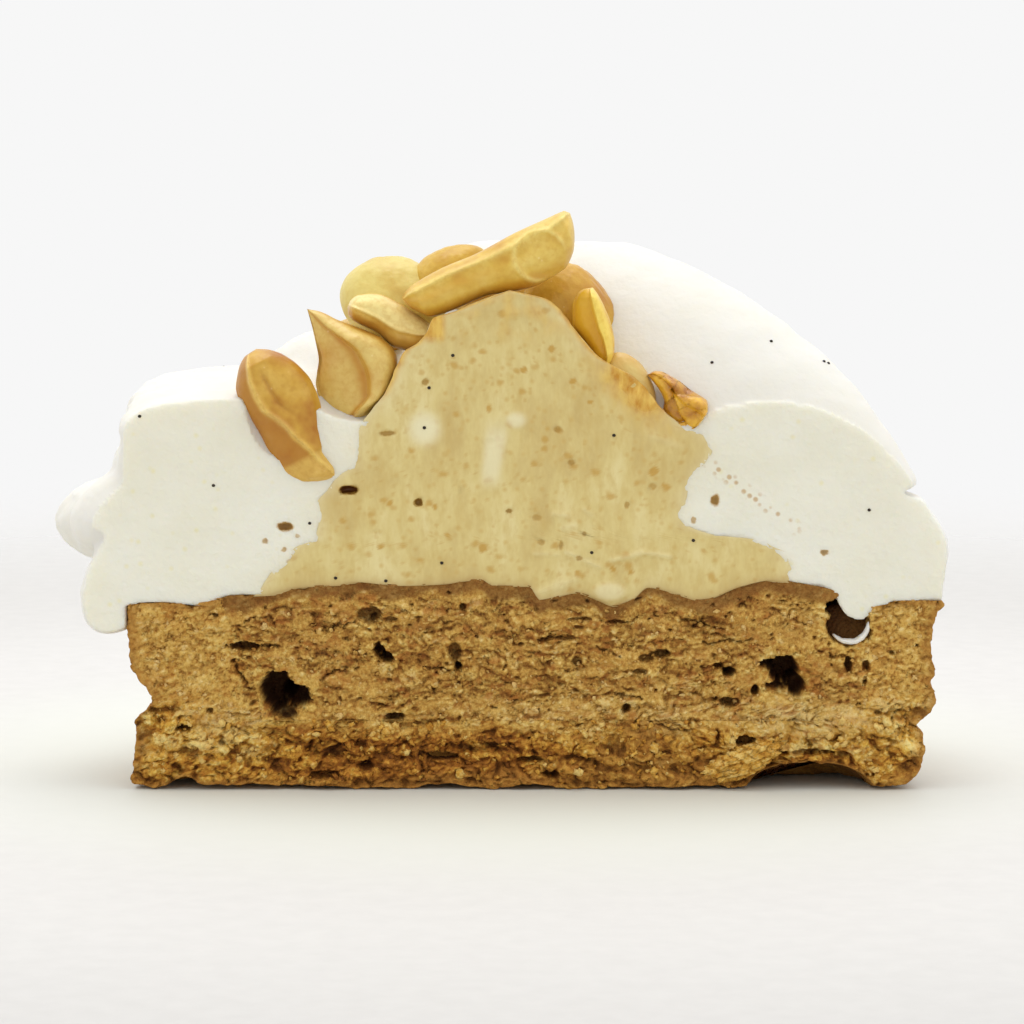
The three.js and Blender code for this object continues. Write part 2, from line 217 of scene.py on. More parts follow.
def put_mesh(name, points, quads, triangles=None, marks=None):
    """An object from points in ring millimetres, with its faces turned outwards and shaded
    smooth. marks are values for each point that its material reads by name."""
    triangles = np.zeros((0, 3), int) if triangles is None else np.asarray(triangles)
    quads = np.zeros((0, 4), int) if quads is None else np.asarray(quads)
    halves = np.concatenate([quads[:, [0, 1, 2]], quads[:, [0, 2, 3]], triangles])
    if swept_volume(points - points.mean(axis=0), halves) < 0:
        quads, triangles = quads[:, ::-1], triangles[:, ::-1]
    mesh = bpy.data.meshes.new(name)
    mesh.vertices.add(len(points))
    mesh.vertices.foreach_set("co", ((points - SLICE_CENTRE) * MM).astype(np.float32).ravel())
    corners = np.concatenate([quads.ravel(), triangles.ravel()]).astype(np.int32)
    sizes = np.concatenate([np.full(len(quads), 4), np.full(len(triangles), 3)])
    mesh.loops.add(len(corners))
    mesh.loops.foreach_set("vertex_index", corners)
    mesh.polygons.add(len(sizes))
    starts = (np.cumsum(sizes) - sizes).astype(np.int32)
    mesh.polygons.foreach_set("loop_start", starts)
    mesh.polygons.foreach_set("use_smooth", np.ones(len(sizes), bool))
    for mark, values in (marks or {}).items():
        values = np.zeros(len(points), np.float32) + np.asarray(values, np.float32).ravel()
        mesh.attributes.new(mark, "FLOAT", "POINT").data.foreach_set("value", values)
    mesh.update(calc_edges=True)
    mesh.validate()
    made = bpy.data.objects.new(name, mesh)
    bpy.context.scene.collection.objects.link(made)
    print(f"{name}: {len(points)} points, {len(halves)} triangles")
    return made


def put_stack(name, rings, marks=None, ends=None):
    """An object from a stack of rings, an array of rings x points x 3, closed at both ends."""
    rows, columns = rings.shape[:2]
    low, top = (rings[0].mean(axis=0), rings[-1].mean(axis=0)) if ends is None else ends
    points = np.concatenate([rings.reshape(-1, 3), [low], [top]])
    quads, triangles = ring_faces(rows, columns)
    full = {}
    for mark, values in (marks or {}).items():
        values = np.broadcast_to(values, rings.shape[:2])
        full[mark] = np.concatenate([values.ravel(), [values[0].mean()], [values[-1].mean()]])
    return put_mesh(name, points, quads, triangles, full)


def dress(piece, finish, slot, *nodes):
    """Gives a piece its material, hangs it on the tart's body, and hides the CAD parts that it stands for.
    """
    piece.data.materials.append(finish)
    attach(piece, "root")
    if nodes:
        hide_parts(*nodes)
    return piece


corner = np.vstack([np.zeros(3), np.eye(3)])
faces = np.array([[0, 2, 1], [0, 1, 3], [0, 3, 2], [1, 2, 3]])
print("six times the volume of a unit cube's corner:", swept_volume(corner, faces))


# %% [markdown]
# ## The outline of the baked base
#
# On the real slice the pastry's side isn't straight: a groove runs round it, and the right bottom
# corner has broken off. So the outline at the cut is given by stations, and round the back the
# left one turns slowly into the right one, with crags of noise on top.

# %% Outline of the pastry and of the filling
LEFT_SIDE = [(0, 42.2), (0.8, 42.4), (5.4, 41.9), (7.4, 42.2), (8.2, 41.2), (9.2, 40.5),
             (10.5, 40.7), (12.3, 41.9), (14.7, 42.6), (18.3, 42.8), (19.6, 42.8), (20.4, 42.3)]
RIGHT_SIDE = [(0, 38.2), (0.7, 39.9), (2.1, 41.0), (4.4, 41.4), (5.9, 41.2), (6.8, 40.6),
              (7.5, 41.4), (8.4, 42.1), (9.7, 42.6), (11.4, 42.1), (12.3, 42.4), (16.1, 42.1),
              (18.9, 42.6), (19.8, 43.0), (20.4, 42.9)]
BACK_SIDE = [(0, 41.2), (1.2, 42.2), (5.6, 42.4), (7.2, 41.6), (8.3, 40.9), (9.4, 41.5),
             (11.0, 42.5), (17.0, 42.5), (19.6, 42.5), (20.4, 42.0)]
TOP_LINE = [(-43, 19.8), (-40.2, 20.0), (-37, 19.9), (-34.6, 19.5), (-33.2, 20.3), (-32, 20.75),
            (-28.9, 20.8), (-25, 21.7), (-21.2, 21.9), (-18.7, 22.3), (-14, 21.9), (-10.5, 22.0),
            (-5.6, 22.5), (-4.2, 21.8), (-0.4, 21.8), (0.9, 20.3), (2.6, 20.7), (4.5, 21.1),
            (6.6, 20.5), (8.6, 19.7), (10.4, 20.3), (12.2, 21.7), (14.4, 21.3), (17.7, 20.3),
            (21.9, 21.8), (25.2, 22.5), (28.4, 22.0), (31.4, 21.4), (33.8, 19.9), (36.2, 19.6),
            (38.9, 20.3), (43.2, 20.2)]
INNER_LEFT = [(0, 28.4), (7.4, 28.7), (20.6, 32.9)]
INNER_RIGHT = [(0, 30.5), (7.4, 31.6), (9.5, 34.2), (12, 35.3), (20.6, 35.6)]


def outer_radius(angle, z):
    """Radius of the pastry's outside at an angle round the ring, 0 at the right of the cut.

    The right and left outlines fade into the back's within some 25 degrees of the cut, and crags
    of three sizes are added, the finest of them in flat flakes.
    """
    right = np.exp(-(angle / 0.45) ** 2)
    left = np.exp(-((math.pi - angle) / 0.45) ** 2)
    radius = (through(BACK_SIDE, z) * (1 - right - left) + through(RIGHT_SIDE, z) * right
              + through(LEFT_SIDE, z) * left)
    along = angle * RING_RADIUS
    rough = (0.34 * noise(along / 6, 1.5, z / 4) + 0.20 * noise(along / 2.1, 4.5, z / 1.4)
             + 0.14 * noise(along / 0.9, 8.5, z / 0.7))
    _, edge, own = grains(along / 1.5, z, 3)
    rough += 0.16 * (own - 0.5) - 0.12 * smooth(0.16 - edge, 0, 0.16)
    low = smooth(3.2 - z, 0, 3.2)
    coarse = grains(along / 2.4, z / 1.6, 4)[2]
    return radius + rough - 0.7 * low * coarse * (1 - right - left)


def bottom_height(x, y):
    """Height of the underside: nearly flat, but broken away under the right of the cut, where
    the gap is the upper half of an ellipsoid."""
    uneven = 0.36 + 0.46 * noise(x / 4.5, y / 4.5, 2.5) + 0.2 * noise(x / 1.4, y / 1.4, 6.5)
    uneven += 1.1 * np.exp(-((x + 36.9) / 1.6) ** 2 - (y / 2.5) ** 2)
    gap = 1 - ((x - 29.4) / 6.8) ** 2 - ((y + 1) / 9.5) ** 2
    ragged = 0.25 * noise(x / 1.3, y / 1.3, 4.2)
    return np.maximum(np.maximum(uneven, 0), (3.0 + ragged) * np.sqrt(np.clip(gap, 0, 1)))


def top_height(x, y):
    """Height of the base's top: the outline at the cut, easing into an even rim and a gently
    swollen filling further back."""
    radius = np.hypot(x, y)
    rim = RING_HEIGHT + 0.3 * noise(x / 5, y / 5, 1.2)
    swollen = 21.4 + 0.5 * noise(x / 9, y / 9, 3.1)
    behind = mix(swollen, rim, smooth(radius, 31, 35))
    return mix(behind, through(TOP_LINE, x), np.exp(-((y / 7) ** 2)))


def inner_x(z, side):
    """Where the wall's inner face meets the cut, on side -1 or 1."""
    return side * through(INNER_LEFT if side < 0 else INNER_RIGHT, z)


print("radius of the groove:", outer_radius(np.array([0.0, 1.6, math.pi]),
                                            np.array([6.8, 8.3, 9.3])).round(1))

# %% [markdown]
# ## The rough cut face
#
# A knife tears this crumb rather than cutting it, and each part tears in its own way. The walls
# are fine and sandy, the filling breaks in flat flakes, and the floor is a heap of coarse golden
# clumps with dark gaps. All of it is one height field over the cut, so the crust and the filling
# meet without a step. The same grains also say where crumbs are pale, toasted or in shadow.

# %% Holes and cracks in the cut face
# (x, z, half width, half height, depth)
HOLES = [
    (-27.0, 10.4, 2.0, 2.2, 6.5), (-25.0, 9.9, 1.7, 1.4, 5.5), (-26.3, 8.2, 1.5, 0.9, 3.0),
    (-30.6, 15.2, 1.9, 0.5, 2.4), (-28.0, 15.3, 1.6, 0.2, 1.0), (-37.2, 6.6, 0.9, 0.5, 1.8),
    (-39.3, 7.4, 0.5, 0.4, 1.2), (-34.2, 8.4, 0.5, 0.4, 1.2), (-33.0, 5.0, 0.5, 0.4, 1.3),
    (-17.2, 18.6, 1.4, 1.0, 2.0), (-15.0, 18.2, 0.8, 0.3, 1.2), (-16.3, 14.9, 0.7, 0.8, 3.2),
    (-15.5, 14.1, 0.8, 0.6, 3.2), (-8.2, 14.6, 0.75, 1.3, 1.6), (-7.9, 13.2, 0.5, 0.6, 3.0),
    (-7.4, 19.4, 0.4, 0.4, 1.4), (-12.8, 19.7, 0.3, 0.15, 0.8), (-14.6, 7.7, 1.3, 0.5, 2.2),
    (-9.7, 3.5, 1.8, 0.5, 2.4), (-6.4, 4.4, 4.6, 0.7, 1.3), (-21.8, 4.2, 2.3, 1.1, 1.5),
    (-22.2, 1.5, 1.9, 0.5, 1.4), (-17.6, 2.4, 1.0, 0.6, 1.2), (-0.4, 3.1, 1.4, 0.4, 1.3),
    (2.0, 1.6, 1.1, 0.4, 1.2), (4.9, 18.2, 1.4, 0.25, 1.0), (8.9, 17.9, 1.3, 0.25, 0.9),
    (3.4, 16.2, 1.2, 0.35, 1.0), (13.6, 14.5, 1.3, 0.5, 1.8),
    (11.9, 14.0, 1.0, 0.4, 1.4), (4.7, 13.6, 0.6, 0.8, 1.0), (11.3, 12.6, 0.9, 0.4, 1.0),
    (20.7, 12.6, 0.8, 0.6, 2.6), (19.7, 13.2, 0.6, 0.3, 1.6), (20.7, 9.3, 1.2, 0.6, 2.0),
    (19.3, 9.7, 0.4, 0.35, 1.6), (9.9, 8.7, 0.5, 0.6, 2.2), (26.6, 12.8, 1.7, 1.5, 5.8),
    (27.9, 11.0, 1.0, 1.3, 4.5), (24.9, 13.4, 1.0, 0.5, 3.2), (23.6, 10.6, 0.5, 0.7, 2.2),
    (25.7, 11.0, 1.2, 0.5, 3.0), (33.4, 17.4, 2.4, 2.1, 6.5), (31.8, 19.4, 0.9, 0.9, 6.0),
    (34.0, 20.0, 1.9, 1.5, 6.0), (33.4, 13.3, 0.5, 0.9, 2.2), (35.2, 13.2, 0.5, 0.6, 1.5),
    (35.1, 11.6, 0.3, 0.5, 1.2),
    (22.4, 5.0, 1.3, 0.6, 2.6), (25.0, 4.4, 1.4, 0.35, 2.0), (29.5, 3.9, 3.4, 0.35, 1.2),
    (32.6, 3.6, 1.3, 0.5, 1.0), (38.0, 14.6, 0.3, 0.25, 0.9), (40.6, 15.4, 0.25, 0.2, 0.7),
    (36.6, 8.2, 0.5, 0.3, 1.0), (-33.6, 18.6, 0.5, 0.25, 0.8),
]
# (x and z of both ends, half width, depth)
CRACKS = [
    (-31.7, 13.5, -29.9, 10.8, 0.16, 1.4), (-22.0, 17.2, -18.8, 17.9, 0.12, 0.8),
    (-10.4, 12.9, -8.0, 12.6, 0.14, 1.0), (6.8, 14.9, 9.2, 14.2, 0.12, 0.7),
    (31.3, 15.6, 31.6, 13.4, 0.12, 1.0), (8.8, 10.2, 11.6, 9.8, 0.13, 0.9),
    (15.6, 18.3, 20.2, 17.2, 0.14, 0.8), (18.0, 15.7, 23.4, 16.0, 0.14, 0.7),
    (-22.4, 11.9, -19.6, 13.1, 0.14, 0.9), (0.5, 15.9, 3.0, 16.4, 0.13, 0.8),
    (13.2, 6.9, 16.6, 6.2, 0.13, 0.8), (-30.4, 18.0, -27.6, 18.6, 0.12, 0.7),
]
print(len(HOLES), "holes and", len(CRACKS), "cracks")


# %% [markdown]
# The face could be sculpted by hand, but there are thousands of crumbs in it. So its depth is a
# sum of formulas. Each zone of the cut has its own mix of grains, creases and noise, and the
# zones fade into each other with wandering borders.

# %% Zones and kinds of crumb
def creases(x, z, layer):
    """1 along meandering lines, where soft noise passes through 0, and 0 away from them."""
    return smooth(0.26 - np.abs(noise(x, layer + 0.37, z)), 0, 0.26)


def cut_zones(x, z):
    """How far each (x, z) belongs to the coarse floor, the sandy walls, the calm parts of the
    filling and its flaky parts, each from 0 to 1. The browned skin on top is hardly flaky."""
    coarse = smooth(7.2 + 1.3 * noise(x / 4, 3.4, 0.5) - z, 0.0, 2.2)
    coarse = np.maximum(coarse, smooth(np.abs(x), 33, 38) * smooth(10.4 - z, 0, 2.0))
    wall = np.maximum(smooth(x, 34.4, 36.0), smooth(-x, 31.2, 33.0)) * (1 - coarse)
    skin = smooth(2.1 + 0.6 * noise(x / 3, 1.9, 0.4) - (through(TOP_LINE, x) - z), 0, 0.9)
    calm = smooth(noise(x / 5.2, 4.1, z / 2.5) + 0.25 * noise(x / 1.2, 4.6, z / 0.8), 0.0, 0.3)
    return coarse, wall, calm, (1 - coarse) * (1 - wall) * (1 - 0.7 * calm) * (1 - 0.8 * skin)


def flaky_crumb(x, z, u, v):
    """Depth and tone of flat flakes at two sizes, creases between them and fine grain, and each
    flake's own value. (u, v) is the place (x, z) bent by noise."""
    own = grains(u / 1.55, v / 0.52, 0)[2]
    fine, _, fine_own = grains(u / 0.62, v / 0.34, 1)
    fold, ripple = creases(u / 2.2, v / 0.9, 1), noise(u / 1.1, 2.9, v / 0.55)
    depth = (0.26 * (own - 0.5) + 0.14 * (fine_own - 0.5) + 0.20 * fine**2 + 0.30 * fold
             + 0.24 * creases(u / 0.9, v / 0.5, 2) + 0.20 * ripple + 0.10 * noise(x / 0.4, 8.1, z / 0.3))
    # the tone is painted darker along the creases, as shade
    return depth, 0.22 * (0.5 - own) + 0.16 * (0.5 - fine_own) - 0.16 * fold + 0.12 * ripple, own


def coarse_crumb(x, z, u, v):
    """Depth and tone of clumps at two sizes, deep between them, with clefts, and the small
    clumps' own values. The tone is painted darker as shade in the clefts and the gaps between clumps."""
    clump, _, clump_own = grains(u / 1.9, v / 1.25, 2)
    small, _, small_own = grains(u / 0.78, v / 0.6, 5)
    cleft = creases(u / 2.6, v / 1.5, 3)
    depth = (0.5 * (clump_own - 0.5) + 0.6 * clump**2 + 0.36 * small**2 + 0.2 * (small_own - 0.5)
             + 0.8 * noise(u / 2.9, 6.9, v / 1.9) + 0.55 * cleft
             + 0.3 * creases(u / 1.1, v / 0.8, 4) + 0.26 * noise(u / 0.6, 9.7, v / 0.5))
    tone = (0.14 + 0.26 * (0.5 - clump_own) + 0.2 * (0.5 - small_own) - 0.26 * clump**2
            - 0.2 * cleft + 0.2 * noise(x / 3.0, 2.6, z / 2.0))
    return depth, tone, small_own


def sandy_crumb(x, z, u, v):
    """Depth and tone of fine grains with a few creases."""
    sand, _, own = grains(u / 0.56, v / 0.5, 6)
    depth = (0.34 * sand**2 + 0.22 * (own - 0.5) + 0.2 * noise(x / 1.5, 5.5, z / 1.1)
             + 0.14 * creases(x, z / 0.8, 6))
    # the tone is painted darker between the grains, as shade
    return depth, 0.06 + 0.24 * (0.5 - own) - 0.16 * sand**2


print("flaky share across the middle:", cut_zones(np.linspace(-25, 25, 99), 14.0)[3].mean().round(2))

# %% [markdown]
# On top of the three kinds of crumb come raised crumbs, pores, and the holes and cracks of the
# lists above. One function then says how deep the face is anywhere, and which colours it has, so
# that any mesh can ask it.

# %% The height field of the cut face
def hole_depth(x, z, ragged):
    """Depth of the holes and cracks. A hole is nearly flat at the bottom, with a ragged steep
    edge, and a crack follows a wandering line and thins towards its second end."""
    depth = 0
    for at_x, at_z, half_width, half_height, deep in HOLES:
        off = np.hypot((x - at_x) / half_width, (z - at_z) / half_height)
        off = off + ragged * min(1, 0.9 / half_height)
        depth = depth + deep * (1 - np.clip(off, 0, 1) ** 4)
    wander = 0.45 * noise(x / 1.3, 1.1, z / 1.3) + 0.3 * noise(x / 0.5, 4.1, z / 0.5)
    for x0, z0, x1, z1, half_width, deep in CRACKS:
        off_x, off_z, share = beside(x, z, x0, z0, x1, z1)
        off = np.hypot(off_x, off_z + wander)
        depth = depth + deep * smooth(half_width * (1.2 - share * 0.5) - off, -0.1, 0.12)
    return depth


def cut_face(x, z):
    """How far in the cut face lies at each (x, z), in mm, and how its crumb looks there.

    Waves, the three kinds of crumb in their zones, raised crumbs, pores, holes and cracks.
    Returns depth, tone (0 dark to 1 pale, with painted shade in pores, gaps and creases and a painted
    highlight on raised crumbs), toast (orange crumbs) and coarse (the floor's share).
    """
    u = x + 0.70 * noise(x / 2.3, 1.3, z / 2.0) + 0.24 * noise(x / 0.7, 2.3, z / 0.6)
    v = z + 0.50 * noise(x / 2.6, 7.7, z / 1.7) + 0.18 * noise(x / 0.7, 5.3, z / 0.6)
    coarse, wall, calm, flaky = cut_zones(x, z)
    flake_depth, flake_tone, flake_own = flaky_crumb(x, z, u, v)
    clump_depth, clump_tone, clump_own = coarse_crumb(x, z, u, v)
    sand_depth, sand_tone = sandy_crumb(x, z, u, v)
    depth = (0.30 * noise(x / 6, 9.2, z / 3.4) + 0.20 * noise(x / 2.4, 3.1, z / 1.3)
             + flaky * flake_depth + coarse * clump_depth + wall * sand_depth)
    tone = 0.52 + flaky * flake_tone + coarse * clump_tone + wall * sand_tone
    tone += 0.16 * smooth(x, -20, 0) * np.exp(-(((z - 8.3) / 1.8) ** 2))
    ends = np.maximum(smooth(x, 18, 27), smooth(-x, 27, 30))
    tone += 0.24 * smooth(z, 3.0, 4.6) * smooth(10.5 - z, 0, 3) * ends

    crumb, _, crumb_own = grains(u / 0.72, v / 0.5, 16)
    raised = smooth(0.46 - crumb, 0, 0.34) * smooth(crumb_own, 0.5, 0.66)
    pore, _, open_pore = grains(u / 1.25, v / 0.7, 7)
    pit = smooth(0.30 - pore - 0.14 * noise(x / 0.32, 3.6, z / 0.2), 0, 0.2)
    pit = pit * smooth(open_pore, 0.80, 0.92) * (1 - 0.75 * wall)
    ragged = 0.22 * noise(x / 0.9, 2.2, z / 0.8) + 0.14 * noise(x / 0.35, 6.2, z / 0.3)
    ragged += 0.16 * (flake_own - 0.5) + 0.16 * (clump_own - 0.5)
    depth += 0.6 * pit * (1 - 0.4 * coarse) - 0.22 * raised + 0.05 * noise(x / 0.28, 0.4, z / 0.24)
    depth += hole_depth(x, z, ragged)

    speck, _, brown = grains(u / 1.25, v / 0.7, 8)
    mottle, low = noise(x / 3.2, 8.8, z / 1.8), smooth(4.2 - z, 0, 2.5)
    middle = smooth(x, -27, -22) * smooth(4 - x, 0, 8)
    toast = smooth(brown + 0.30 * mottle, 0.55, 0.75) * smooth(0.56 - speck, 0, 0.22)
    toast = toast * (0.95 - 0.5 * wall) * (1 - 0.5 * calm) + 0.3 * smooth(mottle, 0.1, 0.7)
    toast += coarse * (0.3 * smooth(noise(x / 2.2, 4.8, z / 1.5), 0, 0.6) + 0.3 * middle + 0.2 * low)
    tone += (0.20 * noise(x / 2.0, 6.6, z) + 0.12 * noise(x / 0.5, 1.6, z / 0.35)) * (1 - 0.6 * calm)
    # raised crumbs are painted paler as a highlight and open pores darker as shade; the floor's middle and
    # lowest part are darker in colour
    tone += 0.24 * raised - coarse * (0.26 * middle + 0.12 * low) - 0.12 * pit
    return depth, np.clip(tone, 0, 1), np.clip(toast, 0, 1), coarse


def hollow_of(depth, reach=4):
    """How much deeper each point of a grid lies than its neighbours: its depth less the mean depth of
    the square of points round it, summed over two sizes of square. The finishes paint shade where
    it is deeper and a highlight where it stands out."""
    found = np.zeros_like(depth)
    for half in (reach, 3 * reach):
        padded = np.pad(depth, half, mode="edge")
        sums = np.cumsum(np.cumsum(np.pad(padded, ((1, 0), (1, 0))), axis=0), axis=1)
        side = 2 * half + 1
        mean = (sums[side:, side:] - sums[:-side, side:] - sums[side:, :-side] + sums[:-side, :-side])
        found += depth - mean / side**2
    return np.clip(found / 1.1, -1, 1)


print("cut face ready; depth at the big hole",
      cut_face(np.array([-26.8]), np.array([10.2]))[0].round(1), "mm")

# %% [markdown]
# ## The cut end of the crust
#
# The pastry at the cut is a U: a wall, the floor and another wall. It is made as a tube with a
# square section carried along the U. One side of the section is the torn face and has the most
# points, the next follows the round outside, and the other two are hidden.

# %% Cut end of the crust
CUT_DEEP = 3.2          # how far back this piece goes
CUT_TOP = 20.2          # the walls' height, before the uneven top line is added


def crust_paths(wall_points, floor_points):
    """The outer and the inner edge of the U at the cut, from the left rim down and round to the
    right rim, and how far down the wall each point is, from 0 at the rim to 1 at the floor."""
    down = np.linspace(0, 1, wall_points)
    flat = between(0, 1, floor_points)
    side_z, fall = CUT_TOP * (1 - down), CUT_TOP - (CUT_TOP - FLOOR) * down
    left, right = -outer_radius(math.pi, side_z), outer_radius(0.0, side_z)
    outer = np.array([np.concatenate([left, mix(left[-1], right[-1], flat), right[::-1]]),
                      np.concatenate([side_z, 0 * flat, side_z[::-1]])])
    across_floor = mix(inner_x(FLOOR, -1), inner_x(FLOOR, 1), flat)
    inner = np.array([np.concatenate([inner_x(fall, -1), across_floor, inner_x(fall, 1)[::-1]]),
                      np.concatenate([fall, 0 * flat + FLOOR, fall[::-1]])])
    return outer, inner, np.concatenate([down, 0 * flat + 1, down[::-1]])


def crust_cut_rings(wall_points=122, floor_points=500, across=58, back=10):
    """Rings of the tube: across the torn face from outside to inside, back along the inner side,
    across the hidden back, and forward again along the round outside or the underside."""
    outer, inner, sunk = crust_paths(wall_points, floor_points)
    share = np.linspace(0, 1, across)[None, :]
    x, z = (mix(o[:, None], i[:, None], share) for o, i in zip(outer, inner))
    sunk = sunk[:, None]
    z = z + (through(TOP_LINE, x) - CUT_TOP) * (1 - sunk) ** 3
    z = z + bottom_height(x, 0.0) * np.clip(1 - z / 6, 0, 1) ** 2
    depth, tone, toast, coarse = cut_face(x, z)
    depth = np.minimum(depth, CUT_DEEP - 0.5) * mix(0.5, 1, np.clip(share * 12, 0, 1))
    face = np.stack([x, depth, z], -1)

    y = mix(CUT_DEEP, depth[:, :1], np.arange(back)[None, :] / back)
    edge_x, edge_z = x[:, :1], z[:, :1]
    turn = np.arcsin(y / (RING_RADIUS - 0.5))
    angle = np.where(edge_x > 0, turn, math.pi - turn)
    radius = outer_radius(angle, np.broadcast_to(edge_z, y.shape))
    round_x = np.sign(edge_x) * np.sqrt(radius**2 - y**2)
    under = bottom_height(edge_x, y)
    on_wall = sunk < 1
    outside = np.stack([np.where(on_wall, round_x, edge_x + 0 * y), y,
                        np.where(on_wall, edge_z + 0 * y, under)], -1)
    inner_back = np.stack([inner[0], np.full(len(inner[0]), CUT_DEEP), inner[1]], -1)[:, None]
    inner_side = mix(face[:, -1:], inner_back, np.array([0.5, 1.0])[None, :, None])
    hidden = mix(inner_back, outside[:, :1], np.linspace(0, 1, 6)[None, 1:-1, None])
    rings = np.concatenate([face, inner_side, hidden, outside], axis=1)

    from_rim = through(TOP_LINE, x) - z + 0.3 * noise(x / 1.5, 6.1, z / 1.5)
    from_side = np.abs(outer[0][:, None] - x) + 0.5 * noise(z / 2, 3.3, x / 2)
    baked = np.maximum(smooth(1.6 - from_side, 0, 1.4), smooth(1.0 - from_rim, 0, 0.8))
    baked = np.maximum(baked, 0.6 * smooth(1.0 - z, 0, 1.0))
    # hollow and deep carry painted shade: hollows and hole bottoms are darkened in the finish, crests
    # lightened as a highlight
    return rings, face_marks(
        rings.shape, tone=(tone, 0.5), toast=(toast, 0.5), hollow=(hollow_of(depth), 0),
        baked=(baked, 1.0), deep=(smooth(depth, 1.3, 2.6), 0), coarse=(coarse, 0.5))


crust_rings, crust_marks = crust_cut_rings()
crust_cut = put_stack("crust_cut", crust_rings, crust_marks)

# %% [markdown]
# ## The rest of the crust
#
# Behind the cut the crust is half a round shell. Its section is a closed loop of points, from the
# middle of the underside out to the edge, up the craggy outside, over the rim, down inside and
# back along the floor, and it is turned round the tart. Every point between the middle and the
# edge is the outer arc drawn smaller, so that the shell ends flat, just behind the cut face.

# %% Round body of the crust
def crust_round_rings(turns=372, start_y=2.5):
    """Sections of the shell, one for each angle from the right of the cut round to the left, and
    the radius of the outside at each point.

    A section runs out under the floor, up the side, over the rim, and down inside and home.
    """
    under, side, rim, inside = range(4)
    out_points, up_points, over_points, down_points = 26, 58, 15, 9
    lead = math.asin(start_y / RING_RADIUS)
    angle = np.linspace(lead, math.pi - lead, turns)[:, None]
    up = np.linspace(0, 1, up_points) ** 0.95 * (RING_HEIGHT - 0.1)
    down = np.linspace(RING_HEIGHT, FLOOR, down_points + 1)[1:]
    inwards = mix(0.80, 0.71, (RING_HEIGHT - down) / (RING_HEIGHT - FLOOR))
    share = np.concatenate([np.linspace(0.004, 0.985, out_points), np.ones(up_points),
                            np.linspace(0.99, 0.80, over_points), inwards,
                            np.linspace(0.70, 0.004, down_points)])
    level = np.concatenate([np.zeros(out_points), up, np.zeros(over_points), down,
                            np.full(down_points, FLOOR)])
    part = np.repeat([under, side, rim, inside], [out_points, up_points, over_points, 2 * down_points])
    measured_at = np.where(part == side, level, np.where(part == rim, RING_HEIGHT - 0.15, 0.4))
    radius = outer_radius(angle, np.broadcast_to(measured_at, (turns, len(part))))
    edge = np.stack([radius * np.cos(angle), radius * np.sin(angle)], -1)
    middle = np.array([0.0, start_y])
    x, y = np.moveaxis(middle + share[None, :, None] * (edge - middle), -1, 0)
    foot, top = bottom_height(x, y), top_height(x, y) + 0.12 * noise(x / 0.8, y / 0.8, 5.1)
    z = np.where(part == under, foot, level + 0 * x)
    lifted = np.maximum(z, foot * smooth(3.0 - z, 0, 3.0))
    z = np.where(part == side, np.minimum(lifted, top - 0.1), z)
    z = np.where(part == rim, top - 0.25 * smooth(share, 0.97, 1.0), z)
    return np.stack([x, y, z], -1), radius


def shell_marks(rings, radius):
    """The marks of the round shell, from the same grains that roughen it. hollow and deep carry painted
    shade.
    """
    x, y, z = np.moveaxis(rings, -1, 0)
    along = np.arctan2(y, x) * RING_RADIUS
    _, edge, own = grains(along / 1.5, z, 3)
    return {
        "tone": np.clip(0.5 + 0.28 * (own - 0.5) + 0.22 * noise(along / 3, 2.7, z / 1.6)
                        + 0.1 * noise(along / 0.8, 6.7, z / 0.6), 0, 1),
        "toast": np.clip(0.45 + 0.4 * noise(along / 5, 1.9, z / 3), 0, 1),
        # painted shade: hollow darkens recesses of the outside and the gaps between its grains
        "hollow": np.clip((radius.mean() - radius) / 3, -1, 1) + 0.5 * smooth(0.16 - edge, 0, 0.16),
        "baked": np.clip(0.8 + 0.2 * noise(along / 4, 7.9, z / 3), 0, 1),
        # painted shade: deep darkens the inside of the shell near the cut, which shows through the holes
        "deep": smooth(9 - y, 0, 3) * smooth(41 - np.abs(x), 0, 1.5) * smooth(z, 5, 7),
        "coarse": smooth(7.5 + 1.2 * noise(along / 4, 3.3, 1.1) - z, 0, 2),
    }


shell_rings, shell_radius = crust_round_rings()
shell_ends = [np.array([side * 36.0, 2.5, 4.0]) for side in (1, -1)]
crust_round = put_stack("crust_round", shell_rings, shell_marks(shell_rings, shell_radius), shell_ends)

# %% [markdown]
# ## The baked filling
#
# The filling is a baked sponge that lies in the shell. It is a stack of D-shaped rings, one for
# each height: the straight side of the D is the torn cut face, and the round side rests against
# the inside of the shell, where nobody sees it. The top of the stack closes under the cream.

# %% Filling
FILLING_TOP = 21.2      # its height before the uneven top line takes over
LID_SHARES = (0.985, 0.9, 0.72, 0.5, 0.28, 0.1)


def filling_rings(rows=88, columns=432, arc=34):
    """D-shaped rings from the floor to the baked top, then rings that shrink to close the top.
    Returns the rings, then x, z and depth of their straight side, and that side's marks."""
    level = mix(FLOOR, FILLING_TOP, np.linspace(0, 1, rows)[:, None])
    left, right = inner_x(level, -1), inner_x(level, 1)
    x = mix(left, right, np.linspace(0, 1, columns)[None, :])
    z = FLOOR + (level - FLOOR) * (through(TOP_LINE, x) - FLOOR) / (FILLING_TOP - FLOOR)
    depth, tone, toast, coarse = cut_face(x, z)
    depth = depth - 0.02
    angle = between(0, math.pi, arc)[None, :]
    radius = mix(right, -left, (1 - np.cos(angle)) / 2)
    around = np.stack([radius * np.cos(angle), np.maximum(radius * np.sin(angle), 0.6),
                       level - 0.15 + 0 * angle], -1)
    rings = np.concatenate([np.stack([x, depth, z], -1), around], axis=1)
    middle = np.array([0.0, 14.0, 0.0])
    lids = np.array([middle + share * (rings[-1] - middle) for share in LID_SHARES])
    lids[..., 2] = top_height(lids[..., 0], lids[..., 1])
    return np.concatenate([rings, lids]), x, z, depth, tone, toast, coarse


